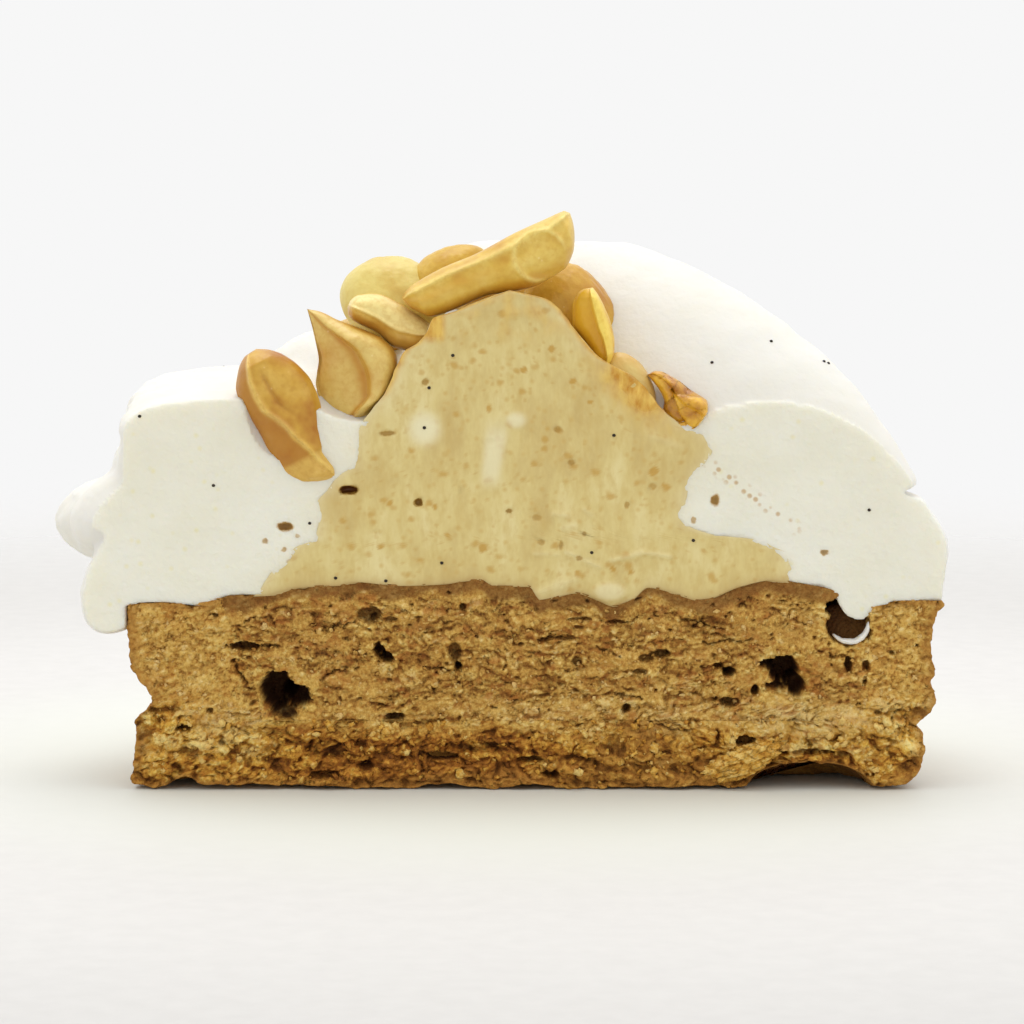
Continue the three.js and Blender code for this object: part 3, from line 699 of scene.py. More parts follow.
rings, x, z, depth, tone, toast, coarse = filling_rings()
below_top = through(TOP_LINE, x) - z + 0.35 * noise(x / 2.5, 4.4, z / 1.5)
skin_deep = 1.35 + 0.5 * noise(x / 7, 1.7, 0.3) + 0.5 * noise(x / 2, 1.2, 0.7)
# hollow and deep carry painted shade: hollows and hole bottoms are darkened in the finish, crests lightened
# as a highlight
filling = put_stack("filling_sponge", rings, face_marks(
    rings.shape, tone=(tone, 0.5), toast=(toast, 0.5), hollow=(hollow_of(depth), 0), coarse=(coarse, 0),
    baked=(smooth(skin_deep + 0.5 - below_top, 0, 0.9), 1.0), deep=(smooth(depth, 1.3, 3.4), 0)))
print("filling depth from", depth.min().round(2), "to", depth.max().round(2), "mm")

# %% [markdown]
# ## The dome of peanut cream
#
# A smooth beige cream, spread as a dome on the baked filling and cut clean through. Its outline
# at the cut wanders, because whipped cream was pressed against it. It is a stack of D-shaped rings
# again, fine enough for bubbles, and its two outlines blend into a plain dome behind.

# %% Outline of the dome
DOME_LEFT = [(19.6, -30.4), (20.9, -29.0), (22.4, -28.0), (23.6, -27.0), (25.7, -24.9), (26.6, -23.0),
             (28.5, -22.6), (30.4, -22.8), (31.5, -22.0), (33.6, -20.2), (34.4, -19.1), (36.8, -18.9),
             (39.2, -17.8), (42.4, -15.4), (45.2, -14.2), (46.6, -13.4), (47.3, -12.2), (48.4, -11.2),
             (50.0, -10.4), (50.7, -8.2), (51.4, -6.6), (52.3, -4.2), (DOME_TOP, -2.5)]
DOME_RIGHT = [(19.6, 27.6), (21.1, 27.6), (22.3, 27.4), (23.1, 27.1), (24.8, 26.6), (25.6, 25.2),
              (26.5, 23.6), (26.9, 21.0), (27.2, 19.0), (28.2, 16.4), (29.7, 16.0), (33.2, 16.9),
              (35.0, 18.2), (36.3, 18.9), (37.5, 18.2), (38.3, 16.4), (40.4, 13.6), (42.0, 12.4),
              (44.0, 10.4), (45.0, 8.4), (46.2, 6.6), (48.1, 4.9), (50.3, 3.3), (51.9, 1.6),
              (DOME_TOP, -2.3)]
DOME_BACK = [(18.0, 30.0), (20.8, 29.0), (25.2, 26.5), (30.0, 22.8), (34.5, 19.9), (38.5, 17.2),
             (44.5, 12.2), (49.0, 8.5), (51.8, 5.0), (DOME_TOP, 0.2)]


def dome_radius(x, y, z):
    """Radius of the dome in the direction of (x, y), at height z: the cut's outline on each side
    and the back's between them, shared out by the square of the cosine."""
    angle = np.arctan2(y, x - DOME_X)
    facing = np.cos(angle)
    side = np.where(facing > 0, through(DOME_RIGHT, z) - DOME_X, DOME_X - through(DOME_LEFT, z))
    return mix(through(DOME_BACK, z), side, facing**2)


print("dome:", through(DOME_RIGHT, 24.0).round(1) - through(DOME_LEFT, 24.0).round(1), "mm wide at its foot")

# %% [markdown]
# The cut through the peanut cream is smooth, but not plain: there are open bubbles, small folds
# where it was pushed while soft, pale patches of air, tan flecks of peanut, and syrup that ran in
# from the caramel. Each is a short formula on (x, z), and the lists hold the ones that stand out.

# %% The cut through the peanut cream
# Bubbles: (x, z, half width, half height, depth)
CREAM_BUBBLES = [
    (-19.4, 31.9, 1.05, 0.5, 1.3), (-12.05, 30.6, 0.5, 0.45, 0.7), (-15.3, 37.9, 0.9, 0.3, 0.4),
    (-2.5, 29.7, 0.35, 0.3, 0.4), (4.05, 34.8, 0.4, 0.35, 0.3), (-7.6, 32.0, 0.2, 0.5, 0.15),
    (0.4, 29.0, 0.5, 0.35, 0.25), (3.0, 26.1, 0.2, 0.5, 0.3), (-11.3, 43.3, 0.4, 0.35, 0.35),
    (4.9, 24.7, 0.35, 0.3, 0.35), (0.9, 26.4, 0.4, 0.35, 0.25), (6.0, 24.6, 1.1, 0.25, 0.15),
    (9.9, 30.3, 0.3, 0.4, 0.3), (-4.5, 37.0, 0.5, 0.4, 0.2), (2.6, 38.3, 0.4, 0.35, 0.3),
    (-16.4, 27.4, 0.5, 0.3, 0.2), (12.6, 32.3, 0.45, 0.35, 0.25), (5.4, 27.3, 0.25, 0.3, 0.3),
]
# Folds where the cream was pushed while soft: (x, z of both ends, half width, height)
CREAM_FOLDS = [
    (8.3, 24.5, 11.7, 25.3, 0.30, 0.42), (11.7, 25.3, 14.4, 24.9, 0.24, 0.32),
    (0.1, 25.2, 2.6, 25.1, 0.2, 0.2), (3.6, 25.3, 6.9, 23.8, 0.25, 0.3),
    (2.2, 29.4, 3.6, 29.2, 0.28, 0.25), (3.2, 27.9, 4.4, 28.2, 0.3, 0.25),
    (5.4, 29.9, 6.2, 29.3, 0.25, 0.2), (-5.0, 39.4, -3.6, 33.2, 0.9, 0.10),
    (-3.4, 39.5, -1.2, 39.3, 0.7, 0.16),
    (0.2, 20.9, 4.2, 22.4, 0.5, 0.3), (12.6, 37.6, 15.2, 36.6, 0.5, 0.2),
]
# Tan flecks that stand out in the cream: (x, z, radius)
TAN_FLECKS = [
    (-5.3, 25.8, 0.5), (12.7, 33.9, 0.5), (14.05, 32.3, 0.45), (-15.1, 30.5, 0.3), (-10.3, 30.1, 0.25),
    (-4.6, 40.5, 0.35), (10.3, 23.3, 0.35), (8.5, 23.6, 0.3), (4.7, 23.05, 0.35), (-16.0, 26.0, 0.3),
    (2.0, 46.8, 0.4), (-1.0, 44.6, 0.3), (4.2, 43.4, 0.35), (6.0, 41.2, 0.3), (-9.0, 27.2, 0.25),
]


def dishes(x, z, bubbles, wobble=0.0):
    """Depth of open bubbles in a face: each is the inner half of an ellipsoid."""
    depth = 0.0
    for at_x, at_z, half_width, half_height, deep in bubbles:
        off = np.hypot((x - at_x) / half_width, (z - at_z) / half_height) + wobble
        depth = depth + deep * np.sqrt(np.clip(1 - off**2, 0, 1))
    return depth


def pushed_folds(x, z):
    """Height of the folds, each a rounded ridge along a bowed line, and how wet they shine."""
    height, shine = 0 * x, 0 * x
    for x0, z0, x1, z1, half_width, high in CREAM_FOLDS:
        off_x, off_z, _ = beside(x, z, x0, z0, x1, z1)
        bow = 0.5 * half_width * noise(x / 1.5, 1.1, z / 1.5)
        ridge = np.exp(-(((np.hypot(off_x, off_z) + bow) / half_width) ** 2))
        height = height + high * ridge
        shine = np.maximum(shine, ridge * min(1, high / 0.3))
    return height, shine


def pale_patches(x, z, drop):
    """Two round patches, a streak between them, and the top of the drop at the dome's foot."""
    left = np.exp(-((x + 11.4) ** 2 + ((z - 38.4) / 1.05) ** 2) ** 2 / 8.0)
    right = 0.85 * np.exp(-(np.hypot(x + 1.8, (z - 39.3) / 0.8)) ** 4)
    streak = np.exp(-((x + 4.1 - 0.14 * (z - 36)) / (0.9 + 0.05 * (z - 32))) ** 4)
    streak = 0.8 * streak * smooth(z, 31.5, 34) * smooth(40 - z, 0, 3)
    return np.maximum.reduce([left, right, streak, 0.5 * smooth(1 - drop, 0, 0.5)])


def tan_flecks(x, z):
    """Scattered grains at two sizes, and the single flecks that stand out."""
    blur = 0.10 * noise(x / 0.5, 6.3, z / 0.5)
    near, _, own = grains(x / 1.9, z / 1.6, 9)
    fleck = 0.8 * smooth(own, 0.62, 0.9) * smooth(0.12 + 0.35 * (own - 0.6) - near + blur, -0.08, 0.14)
    near, _, own = grains(x / 0.9 + 3, z / 0.8, 10)
    fleck = np.maximum(fleck, 0.45 * smooth(own, 0.70, 0.86) * smooth(0.26 - near + blur, -0.06, 0.16))
    for at_x, at_z, size in TAN_FLECKS:
        off = (np.hypot(x - at_x, z - at_z) + 2 * blur) / size
        fleck = np.maximum(fleck, smooth(1.3 - off, 0, 0.6))
    return fleck


def syrup_share(x, z):
    """Where syrup ran into the cream: a slanting patch by the caramel, and specks at the top."""
    syrup = np.exp(-((x - 10.6 + 0.7 * (z - 42.6)) / 2.6) ** 2 - ((z - 42.6) / 3.4) ** 2)
    syrup = np.clip(1.2 * syrup * (1 + 0.5 * noise(x / 1.6, 8.1, z / 1.6)), 0, 1)
    return np.maximum(syrup, 0.5 * smooth(z, 46, 52) * smooth(noise(x / 2, 3.3, z / 2), -0.2, 0.6))


def cream_face(x, z):
    """How far in the peanut cream's cut lies, in mm: slow waves from the knife, fine grain,
    bubbles, folds, one drop and a swelling of syrup. Returns depth, pale, fleck, syrup, shine."""
    bent = x + 1.2 * noise(x / 6, 2.8, z / 6)
    folds, shine = pushed_folds(x, z)
    drop = np.hypot((x - 8.1) / 2.1, (z - 21.2) / 1.2)
    syrup = syrup_share(x, z)
    depth = 0.10 * noise(x / 7, 5.9, z / 5) + 0.07 * noise(bent / 1.6, 3.9, z / 2.6)
    depth += 0.03 * noise(x / 0.4, 1.9, z / 0.4)
    depth += dishes(x, z, CREAM_BUBBLES, 0.12 * noise(x / 0.6, 7.2, z / 0.6))
    depth -= folds + 0.5 * np.sqrt(np.clip(1 - drop**2, 0, 1))
    depth -= syrup * (0.30 + 0.45 * noise(x / 1.3, 5.1, z / 1.5))
    return depth, pale_patches(x, z, drop), tan_flecks(x, z), syrup, shine


print("deepest bubble:", max(bubble[4] for bubble in CREAM_BUBBLES), "mm")

# %% [markdown]
# The dome is a stack of D-shaped rings, like the filling. Its lowest 9 mm bend down on to the
# wavy top of the base, so that no gap shows between the two.

# %% Dome of peanut cream
def dome_rings(rows=170, columns=236, arc=110):
    """D-shaped rings from the foot to the top, with the cut face on their straight side and the
    blended radius round the back. Returns the rings and their marks."""
    up = np.linspace(0, 1, rows)[:, None]
    level = RING_HEIGHT + (DOME_TOP - RING_HEIGHT) * (1 - (1 - up) ** 1.15)
    bend = np.clip(1 - (level - RING_HEIGHT) / 9, 0, 1) ** 2
    left = through(DOME_LEFT, level) + 0.12 * noise(level / 0.9, 1, 3)
    right = through(DOME_RIGHT, level) + 0.16 * noise(level / 0.8, 5, 2)
    x = mix(left, right, np.linspace(0, 1, columns)[None, :])
    z = level + (through(TOP_LINE, np.clip(x, -31, 31.4)) - 0.15 - RING_HEIGHT) * bend
    depth, pale, fleck, syrup, shine = cream_face(x, z)
    edge = np.minimum(x - left, right - x)
    # painted shade: the amber band along the dome's upper edges stands for contact shade under the peanuts,
    # and the patch at the top left is partly syrup and partly painted shade under the nuts
    syrup = np.maximum(syrup, 0.9 * np.exp(-((edge / 0.5) ** 2)) * smooth(z, 40.5, 43))
    syrup = np.maximum(syrup, smooth(-x, 8.8, 9.8) * smooth(z, 47.0, 48.4))

    angle = between(0, math.pi, arc)[None, :] + 0 * level
    aim_x, aim_y = np.cos(angle), np.sin(angle)
    radius = dome_radius(DOME_X + aim_x, aim_y, level + 0 * angle)
    wave = 0.25 * noise(radius * aim_x / 5, radius * aim_y / 5, level / 4)
    radius = radius + wave * smooth(DOME_TOP - level, 0, 2)
    back_x, back_y = DOME_X + radius * aim_x, np.maximum(radius * aim_y, 0.15)
    back_z = level + (top_height(back_x, back_y) + 0.1 - RING_HEIGHT) * bend
    rings = np.concatenate([np.stack([x, depth - 0.05, z], -1), np.stack([back_x, back_y, back_z], -1)], 1)
    return rings, face_marks(
        rings.shape, pale=(pale, 0), fleck=(fleck, 0), syrup=(syrup, 0), shine=(shine, 0),
        border=(np.exp(-edge / 0.8), 0), above_base=(np.exp(-(z - through(TOP_LINE, x)) / 0.5), 0),
        cut=(1 + 0 * x, 0))


rings, marks = dome_rings()
dome = put_stack("peanut_cream_dome", rings, marks)

# %% [markdown]
# ## The whipped cream
#
# Soft petals of cream were pushed against the dome one after another, and melted together where
# they touch. A grid can't branch like that, so this one piece is made another way: each petal is
# a rounded lump, given as its distance from every point of a lattice. The distances are joined by
# a smooth minimum, which leaves a soft crease between petals, the dome and the base are taken
# out, and OpenVDB, which comes with Blender, draws the surface where the distance is zero.

# %% Petals of whipped cream
# middle, radii, turn about X, Y and Z in degrees, and squareness (2 is an ellipsoid)
PETALS = {
    "big_right": ((10.5, 13.3, 27.8), (39.4, 13.4, 27.0), (-13.8, 30.4, -31.5), 2.0),
    "right_base": ((29.7, 5, 27.2), (14.6, 14, 7.6), (0, 16, 4), 2.4),
    "right_back": ((27, 20, 26.2), (15, 12.5, 8.4), (0, 8, 40), 2.4),
    "back_right": ((12, 30.5, 26.6), (14.5, 13, 8.6), (6, 4, 70), 2.4),
    "back_left": ((-7, 32.5, 26.8), (14, 13.5, 9.0), (8, 0, 96), 2.4),
    "left_back": ((-25, 25.5, 26.4), (15.4, 13, 8.4), (0, -6, 134), 2.4),
    "left_middle": ((-37.5, 12.5, 28.2), (14.2, 9, 5.6), (0, -4, -4), 2.2),
    "left_hanging": ((-41.6, 3, 24.2), (9, 7.5, 4.6), (0, -56, 0), 2.0),
    "left_body": ((-27, 12, 29.5), (17.6, 18, 11), (0, 0, 0), 3.0),
    "left_second": ((-30.5, 7, 33.8), (14.2, 10, 4.6), (0, 0, 5), 2.6),
    "left_top": ((-25.6, 10, 37.5), (18.2, 15.5, 5.5), (7, -1, 0), 4.0),
    "upper_right": ((22, 21, 34.5), (15, 11, 9), (0, 22, 36), 2.2),
    "upper_back": ((5, 28.5, 36.5), (16, 11, 9.5), (-8, 16, 12), 2.2),
    "back_top": ((-16, 23, 37.5), (15.5, 12, 10), (0, 12, -24), 2.2),
    "drip": ((34.1, 1.8, 21.7), (2.0, 2.4, 2.1), (0, 0, 0), 2.0),
    "left_foot": ((-36, 4, 21.6), (8.5, 8, 3.4), (0, 0, 0), 2.2),
    "left_leaf": ((-43.0, 5.4, 30.6), (7.4, 6.0, 3.4), (0, -38, 8), 2.0),
    "left_lip": ((-40.4, 7, 36.8), (3.8, 7.5, 2.6), (0, -40, 0), 2.0),
}
# Dents in the cream: in front of two peanuts, and between two petals on the right; middle, radii
HOLLOWS = [((-18.4, -0.5, 46.2), (7.4, 6.5, 7.0)), ((-26.6, -2.4, 41.6), (4.6, 4.4, 8.0)),
           ((41.2, 2.0, 31.6), (2.2, 6.0, 0.5))]
VOXEL = 0.405
LATTICE_LOW = np.array([-53.0, -1.6, 15.0])
LATTICE_HIGH = np.array([45.5, 47.0, 57.5])


def turned(about_x, about_y, about_z):
    """The matrix that turns about X, then Y, then Z, by degrees."""
    a, b, c = np.radians([about_x, about_y, about_z])
    x = np.array([[1, 0, 0], [0, np.cos(a), -np.sin(a)], [0, np.sin(a), np.cos(a)]])
    y = np.array([[np.cos(b), 0, np.sin(b)], [0, 1, 0], [-np.sin(b), 0, np.cos(b)]])
    z = np.array([[np.cos(c), -np.sin(c), 0], [np.sin(c), np.cos(c), 0], [0, 0, 1]])
    return z @ y @ x


def petal_distance(points, middle, radii, turn, boxy):
    """Distance to a rounded lump, in mm and below 0 inside it: how far the sum of the powers of
    x, y and z over their radii is from 1, over how fast that grows there."""
    local = (points - np.array(middle)) @ turned(*turn)
    scaled = np.abs(local) / np.array(radii) + 1e-6
    size = (scaled**boxy).sum(-1) ** (1 / boxy)
    growth = size[..., None] ** (1 - boxy) * scaled ** (boxy - 1) / np.array(radii)
    return (size - 1) / np.sqrt((growth**2).sum(-1))


def joined(a, b, crease):
    """The smooth minimum of two distances: the smaller one, eased over a crease where they are
    about the same."""
    blend = np.clip(0.5 + 0.5 * (a - b) / crease, 0, 1)
    return mix(a, b, blend) - crease * blend * (1 - blend)


def round_lump(axes, middle, radii, turn, boxy, reach):
    """The slices of the lattice that lie within reach of a lump, and the distances there."""
    near = tuple(slice(*np.searchsorted(a, [m - r, m + r])) for a, m, r in zip(axes, middle, reach))
    points = np.stack(np.meshgrid(*[a[s] for a, s in zip(axes, near)], indexing="ij"), -1)
    return near, petal_distance(points, middle, radii, turn, boxy)


def cream_distance():
    """Distance to the whole whipped cream on the lattice: the petals' smooth minimum, less the
    hollows, the base, the dome and everything in front of the cut."""
    axes = [np.arange(low, high, VOXEL) for low, high in zip(LATTICE_LOW, LATTICE_HIGH)]
    far = np.full([len(a) for a in axes], 6.0, np.float32)
    for middle, radii, turn, boxy in PETALS.values():
        reach = np.abs(turned(*turn)) @ (np.array(radii) * (1.0 if boxy <= 2 else 1.3)) + 2.5
        near, petal = round_lump(axes, middle, radii, turn, boxy, reach)
        far[near] = joined(petal, far[near], 0.9)
    for middle, radii in HOLLOWS:
        near, hollow = round_lump(axes, middle, radii, (0, 0, 0), 2.0, np.array(radii) + 1.5)
        far[near] = -joined(hollow, -far[near], 0.8)
    x, y, z = np.meshgrid(*axes, indexing="ij", sparse=True)
    top = top_height(x, y) - 0.1 - 1.6 * np.exp(-(((x - 33.9) / 1.9) ** 4) - (y / 3.5) ** 2)
    past_rim = np.hypot(x, y) - RING_RADIUS - 0.4 - 1.6 * smooth(x, 5, 25)
    base = np.maximum(z - top, past_rim)
    in_dome = np.hypot(x - DOME_X, y) - dome_radius(x, y, z) + 1.3
    in_dome = np.maximum(in_dome, z - DOME_TOP)
    far = np.maximum(np.maximum(far, -base), -0.8 * in_dome)
    return np.maximum(far, 0.05 - y).astype(np.float32)


distance = cream_distance()
volume = openvdb.FloatGrid(3.0)
volume.copyFromArray(distance)
lattice_points, cream_quads = volume.convertToQuads(isovalue=0.0)
cream_points = lattice_points.astype(float) * VOXEL + LATTICE_LOW
print("whipped cream:", distance.shape, "lattice,", len(cream_quads), "quads")


# %% [markdown]
# The lattice is too coarse for what the knife left: soft waves, open bubbles, and a smeared edge
# against the dome. So the points are moved afterwards. Those on the cut go to the depth that a
# formula gives, and the free surface gets waves of three sizes.

# %% Surface of the whipped cream
WHIPPED_BUBBLES = [
    (-26.1, 28.0, 0.9, 0.5, 0.8), (-28.2, 26.5, 0.35, 0.3, 0.4), (-26.2, 25.6, 0.3, 0.25, 0.4),
    (30.7, 25.3, 0.45, 0.35, 0.5), (19.2, 30.8, 0.5, 0.65, 0.6), (16.9, 28.7, 0.3, 0.35, 0.4),
    (-24.8, 27.0, 0.3, 0.25, 0.3), (-25.6, 24.4, 0.4, 0.2, 0.3),
]
# a string of tiny bubbles runs from the first place down to the second
BUBBLE_STRING = [(16.8, 36.0), (28.4, 27.4)]


def whipped_face(x, z):
    """The whipped cream's cut: soft waves and small open bubbles, as a depth in mm."""
    waves = 0.14 * noise(x / 5, 4.6, z / 4) + 0.07 * noise(x / 1.5, 6.4, z / 1.5)
    return waves + dishes(x, z, WHIPPED_BUBBLES)


x, y, z = cream_points.T
on_cut = y < 0.05 + 0.7 * VOXEL
depth = whipped_face(x, z)
past_dome = np.hypot(x - DOME_X, y) - dome_radius(x, y, z)
smeared = (0.10 * noise(x / 7, 5.9, z / 5) - 0.16 + 0.17 * noise(x / 1.9, 2.1, z / 1.9)
           + 0.05 * noise(x / 0.7, 3.1, z / 0.7) + 0.30 * smooth(-past_dome, 0.0, 1.3))
depth = mix(depth, smeared, np.exp(-np.maximum(past_dome, 0) / 0.8))
wave = (0.40 * noise(x / 8, y / 8, z / 6) + 0.28 * noise(x / 3.2, y / 3.2, z / 2.6)
        + 0.10 * noise(x / 1.2, y / 1.2, z / 1.1))
wave = wave * mix(0.45, 1.3, smooth(-x, 8, 34))
outward = np.stack([x, y - 8, z - 26], -1)
outward /= np.linalg.norm(outward, axis=1)[:, None]
free = smooth(y, 0.3, 2.0) * smooth(z - top_height(x, y), 0.0, 1.5)
cream_points = cream_points + outward * (wave * free)[:, None]
cream_points[:, 1] = np.where(on_cut, 0.06 + depth, np.maximum(cream_points[:, 1], 0.06 + depth))
whipped = put_mesh("whipped_cream_petals", cream_points, cream_quads, None, {
    "cut": on_cut.astype(float), "border": np.exp(-np.maximum(past_dome, 0) / 0.9) * on_cut,
})

# %% [markdown]
# ## Roasted peanuts
#
# A roasted peanut falls into halves. Each half is a long dome with a nearly flat inner face, a
# paler worn line where the two meet, and a shallow groove along the inner face. One formula
# makes them all, and each nut has its own size, turn, taper and bend.

# %% Peanuts
# middle, (length, width, thickness), turn about X, Y and Z, taper, and whether it is whole
PEANUTS = {
    "peanut_round": ((-14.9, 10.4, 51.2), (11.4, 10.2, 6.6), (62, 6, 4), 0.05, False),
    "peanut_behind": ((-8.6, 10.4, 54.4), (8.4, 5.8, 5.2), (40, -24, 10), 0.25, True),
    "peanut_right": ((4.0, 9.2, 50.6), (11.0, 8.6, 6.6), (64, 40, 0), 0.10, False),
    "peanut_sunk": ((10.3, 1.9, 43.2), (7.0, 4.0, 4.0), (70, 52, 0), 0.10, True),
    "peanut_rear_left": ((-17.8, 15.4, 45.8), (11.6, 7.6, 6.0), (-30, 24, 60), 0.20, False),
    "peanut_rear": ((-4.6, 18.4, 52.0), (14.0, 8.0, 6.2), (-24, 8, 152), 0.20, False),
}


def peanut_rings(middle, size, turn, taper, whole, bend=0.06, rows=110, columns=128):
    """A ball with its poles on the long axis, pulled to length, width and thickness.

    The width narrows towards one end, the middle line bends sideways by the square of the way
    along, and the lower half is flattened, with a groove along it. Fine noise dents the skin.
    """
    down, round_it = between(0, math.pi, rows)[:, None], full_turn(columns)
    along = np.cos(down) + 0 * round_it
    across, up = np.sin(down) * np.cos(round_it), np.sin(down) * np.sin(round_it)
    start = np.array(middle)
    own = start[0] * 0.7
    under = np.clip(-2.5 * up, 0, 1)
    groove = under * np.exp(-((across / 0.36) ** 2)) * (1 - along**2)
    notch = under * np.exp(-((along - 0.72) / 0.16) ** 2 - (across / 0.3) ** 2)
    height = up if whole else np.where(up < 0, 0.34 * up + 0.30 * groove + 0.16 * notch, up)
    narrow = 1 - taper * along - 0.1 * along**2
    swell = (1 + 0.035 * noise(along * 2 + own, across * 2, up * 2)
             + 0.016 * noise(along * 6, across * 6 + own, up * 6)
             + 0.006 * noise(along * 15, across * 15, up * 15 + own))
    rim = np.exp(-((up + 0.06) / 0.13) ** 2) * (0 if whole else 1)
    long, wide, thick = np.array(size) / 2
    local = np.stack([along * long, across * wide * narrow * swell + bend * long * along**2,
                      height * thick * swell], -1)
    local *= (1 + 0.02 * rim)[..., None]
    points = local @ turned(*turn).T + start
    ends = [np.array([side * long, bend * long, 0]) @ turned(*turn).T + start for side in (1, -1)]
    marks = {"rim": rim * (0.75 + 0.5 * noise(along * 3, across * 3 + own, 0.4)),
             "face": smooth(-up, 0.05, 0.3) * (0 if whole else 1),
             "groove": np.clip(groove + notch, 0, 1), "tip": np.abs(along) ** 5}
    return points, ends, marks


peanuts = {}
for name, shape in PEANUTS.items():
    points, ends, marks = peanut_rings(*shape)
    peanuts[name] = put_stack(name + "_roasted", points, marks, ends)

# %% [markdown]
# Five peanuts lie right at the cut, and each is folded, hollow or broken in its own way. A plain
# dome won't do for these, so each is drawn between two outlines, as a boat is between its two
# sides, with a rounded section from one to the other.

# %% Outlines of the peanuts at the cut
# (x, z) of the lower or left side and of the upper or right side, both from one tip to the other,
# then y of the middle, how far it swells towards us, and how far away from us
NUT_OUTLINES = {
    "peanut_left": (
        [(-29.1, 46.7), (-30.3, 45.9), (-31.1, 43.8), (-31.2, 42.2), (-30.7, 40.8), (-30.0, 39.7),
         (-29.0, 37.8), (-27.9, 35.1), (-26.6, 33.3), (-25.3, 32.6), (-23.6, 32.4), (-21.8, 32.5)],
        [(-29.1, 46.7), (-27.7, 46.6), (-26.1, 46.0), (-24.6, 44.9), (-23.3, 43.3), (-22.5, 41.4),
         (-22.1, 38.8), (-21.6, 36.2), (-20.6, 34.5), (-20.5, 33.5), (-21.8, 32.5)], 1.3, 2.8, 3.2),
    "peanut_split": (
        [(-23.8, 50.8), (-23.3, 49.0), (-22.9, 47.2), (-22.6, 45.6), (-22.8, 44.0), (-22.9, 42.7),
         (-22.5, 41.4), (-21.7, 40.2), (-20.7, 39.4), (-19.1, 39.0), (-18.1, 38.9)],
        [(-23.8, 50.8), (-22.3, 50.5), (-20.7, 49.7), (-18.8, 49.0), (-17.3, 48.4), (-15.7, 47.6),
         (-14.5, 46.2), (-14.3, 45.1), (-14.7, 43.5), (-15.2, 42.2), (-16.5, 40.6), (-17.4, 39.4),
         (-18.1, 38.9)], 3.0, 2.8, 3.2),
    "peanut_top": (
        [(-13.8, 51.9), (-13.1, 51.1), (-12.3, 50.6), (-10.5, 50.0), (-8.4, 50.7), (-5.2, 52.1),
         (-2.1, 52.6), (0.7, 53.4), (3.2, 54.9), (4.2, 56.6), (4.4, 58.4), (4.2, 60.0), (3.9, 60.9)],
        [(-13.8, 51.9), (-13.3, 52.8), (-12.3, 53.6), (-9.8, 55.0), (-5.6, 56.8), (-2.1, 58.7),
         (1.4, 60.3), (3.2, 61.1), (3.9, 60.9)], 3.4, 2.7, 3.2),
    "peanut_small": (
        [(-19.6, 50.9), (-19.5, 50.1), (-18.8, 49.4), (-16.6, 48.3), (-14.5, 46.6), (-13.0, 46.2),
         (-10.9, 47.3), (-10.5, 48.0)],
        [(-19.6, 50.9), (-19.3, 51.6), (-18.4, 52.2), (-15.9, 52.2), (-13.8, 51.1), (-11.7, 49.8),
         (-10.7, 48.9), (-10.5, 48.0)], 4.6, 2.6, 2.6),
    "peanut_edge": (
        [(6.3, 53.1), (5.3, 52.9), (4.6, 52.3), (4.2, 51.0), (4.2, 49.3), (5.3, 47.5), (6.3, 45.7),
         (6.6, 44.0), (6.8, 43.0)],
        [(6.3, 53.1), (6.9, 52.3), (7.7, 50.7), (8.3, 49.1), (8.6, 47.5), (8.6, 46.1), (8.1, 44.5),
         (7.2, 43.3), (6.8, 43.0)], 2.6, 1.9, 2.2),
}


print(len(NUT_OUTLINES), "peanuts between outlines")

# %% [markdown]
# The side that faces us has a relief of its own on each of them: a fold, a rim, a hollow or a
# crease. A fold is a line that wanders along the nut, where c runs from -1 to 1 across it and t
# from 0 to 1 along it, and everything else is measured from that line.

# %% Folds of the peanuts at the cut
# each gives mm towards us, and how pale, how brown and how flat it is there; on several of them the brown is
# painted shade
def fold_left(c, t):
    """A pale fold wanders across, with a brown side and a crease beside it; the side's brown is roast colour
    deepened by painted shade, and the crease is painted darker as shade.
    """
    line = through([(0, -0.40), (0.18, -0.42), (0.36, -0.47), (0.48, -0.23), (0.63, 0.12),
                    (0.77, 0.5), (1, 0.7)], t)
    ridge = np.exp(-((c - line) / 0.075) ** 2)
    beside_it = np.clip(c - line, 0, 1.4)
    crease = np.exp(-((c - line - 0.42) / 0.07) ** 2) * smooth(t, 0.12, 0.22) * smooth(0.56 - t, 0, 0.2)
    step = smooth(t, 0.76, 0.80)
    worn = step * smooth(c, line - 0.3, line)
    high = (0.40 * ridge - beside_it * (1 - 0.5 * beside_it) - 0.34 * crease
            - 0.9 * np.clip(line - c, 0, 1) - 0.35 * worn)
    pale = ridge * (0.75 - 0.4 * smooth(t, 0.7, 0.9)) + 0.45 * step
    brown = 0.85 * smooth(line - 0.06 - c, 0, 0.12) + 0.5 * crease + 0.3 * smooth(c, 0.6, 1)
    return high, pale, brown * (1 - 0.6 * step), smooth(beside_it, 0.05, 0.3)


def fold_split(c, t):
    """A pale hollow face with a germ in it, and a wide raised rim on its right. The valley where the face
    meets the rim is painted brown as shade.
    """
    line = through([(0, -0.3), (0.27, 0.10), (0.56, 0.24), (0.82, 0.25), (0.91, -0.35), (1, -0.9)], t)
    on_rim = smooth(c, line - 0.02, line + 0.06)
    across = np.clip((c - (line + 1) / 2) / ((1 - line) / 2), -1, 1)
    high = (on_rim * (0.75 * np.sqrt(1 - across**2) - 0.15)
            - (1 - on_rim) * (1.25 - 0.72 * (c - line + 0.9) ** 2))
    valley = np.exp(-((c - line + 0.10) / 0.17) ** 2)
    germ = np.exp(-((c + 0.12) / 0.10) ** 2 - ((t - 0.47) / 0.03) ** 2)
    pale = 0.75 * on_rim * smooth(1 - across**2, 0.2, 0.8) + 0.55 * (1 - on_rim) * (1 - valley)
    return high, pale, 0.75 * valley + 0.6 * smooth(c, 0.80, 1.0) + 0.6 * germ, 1 - on_rim


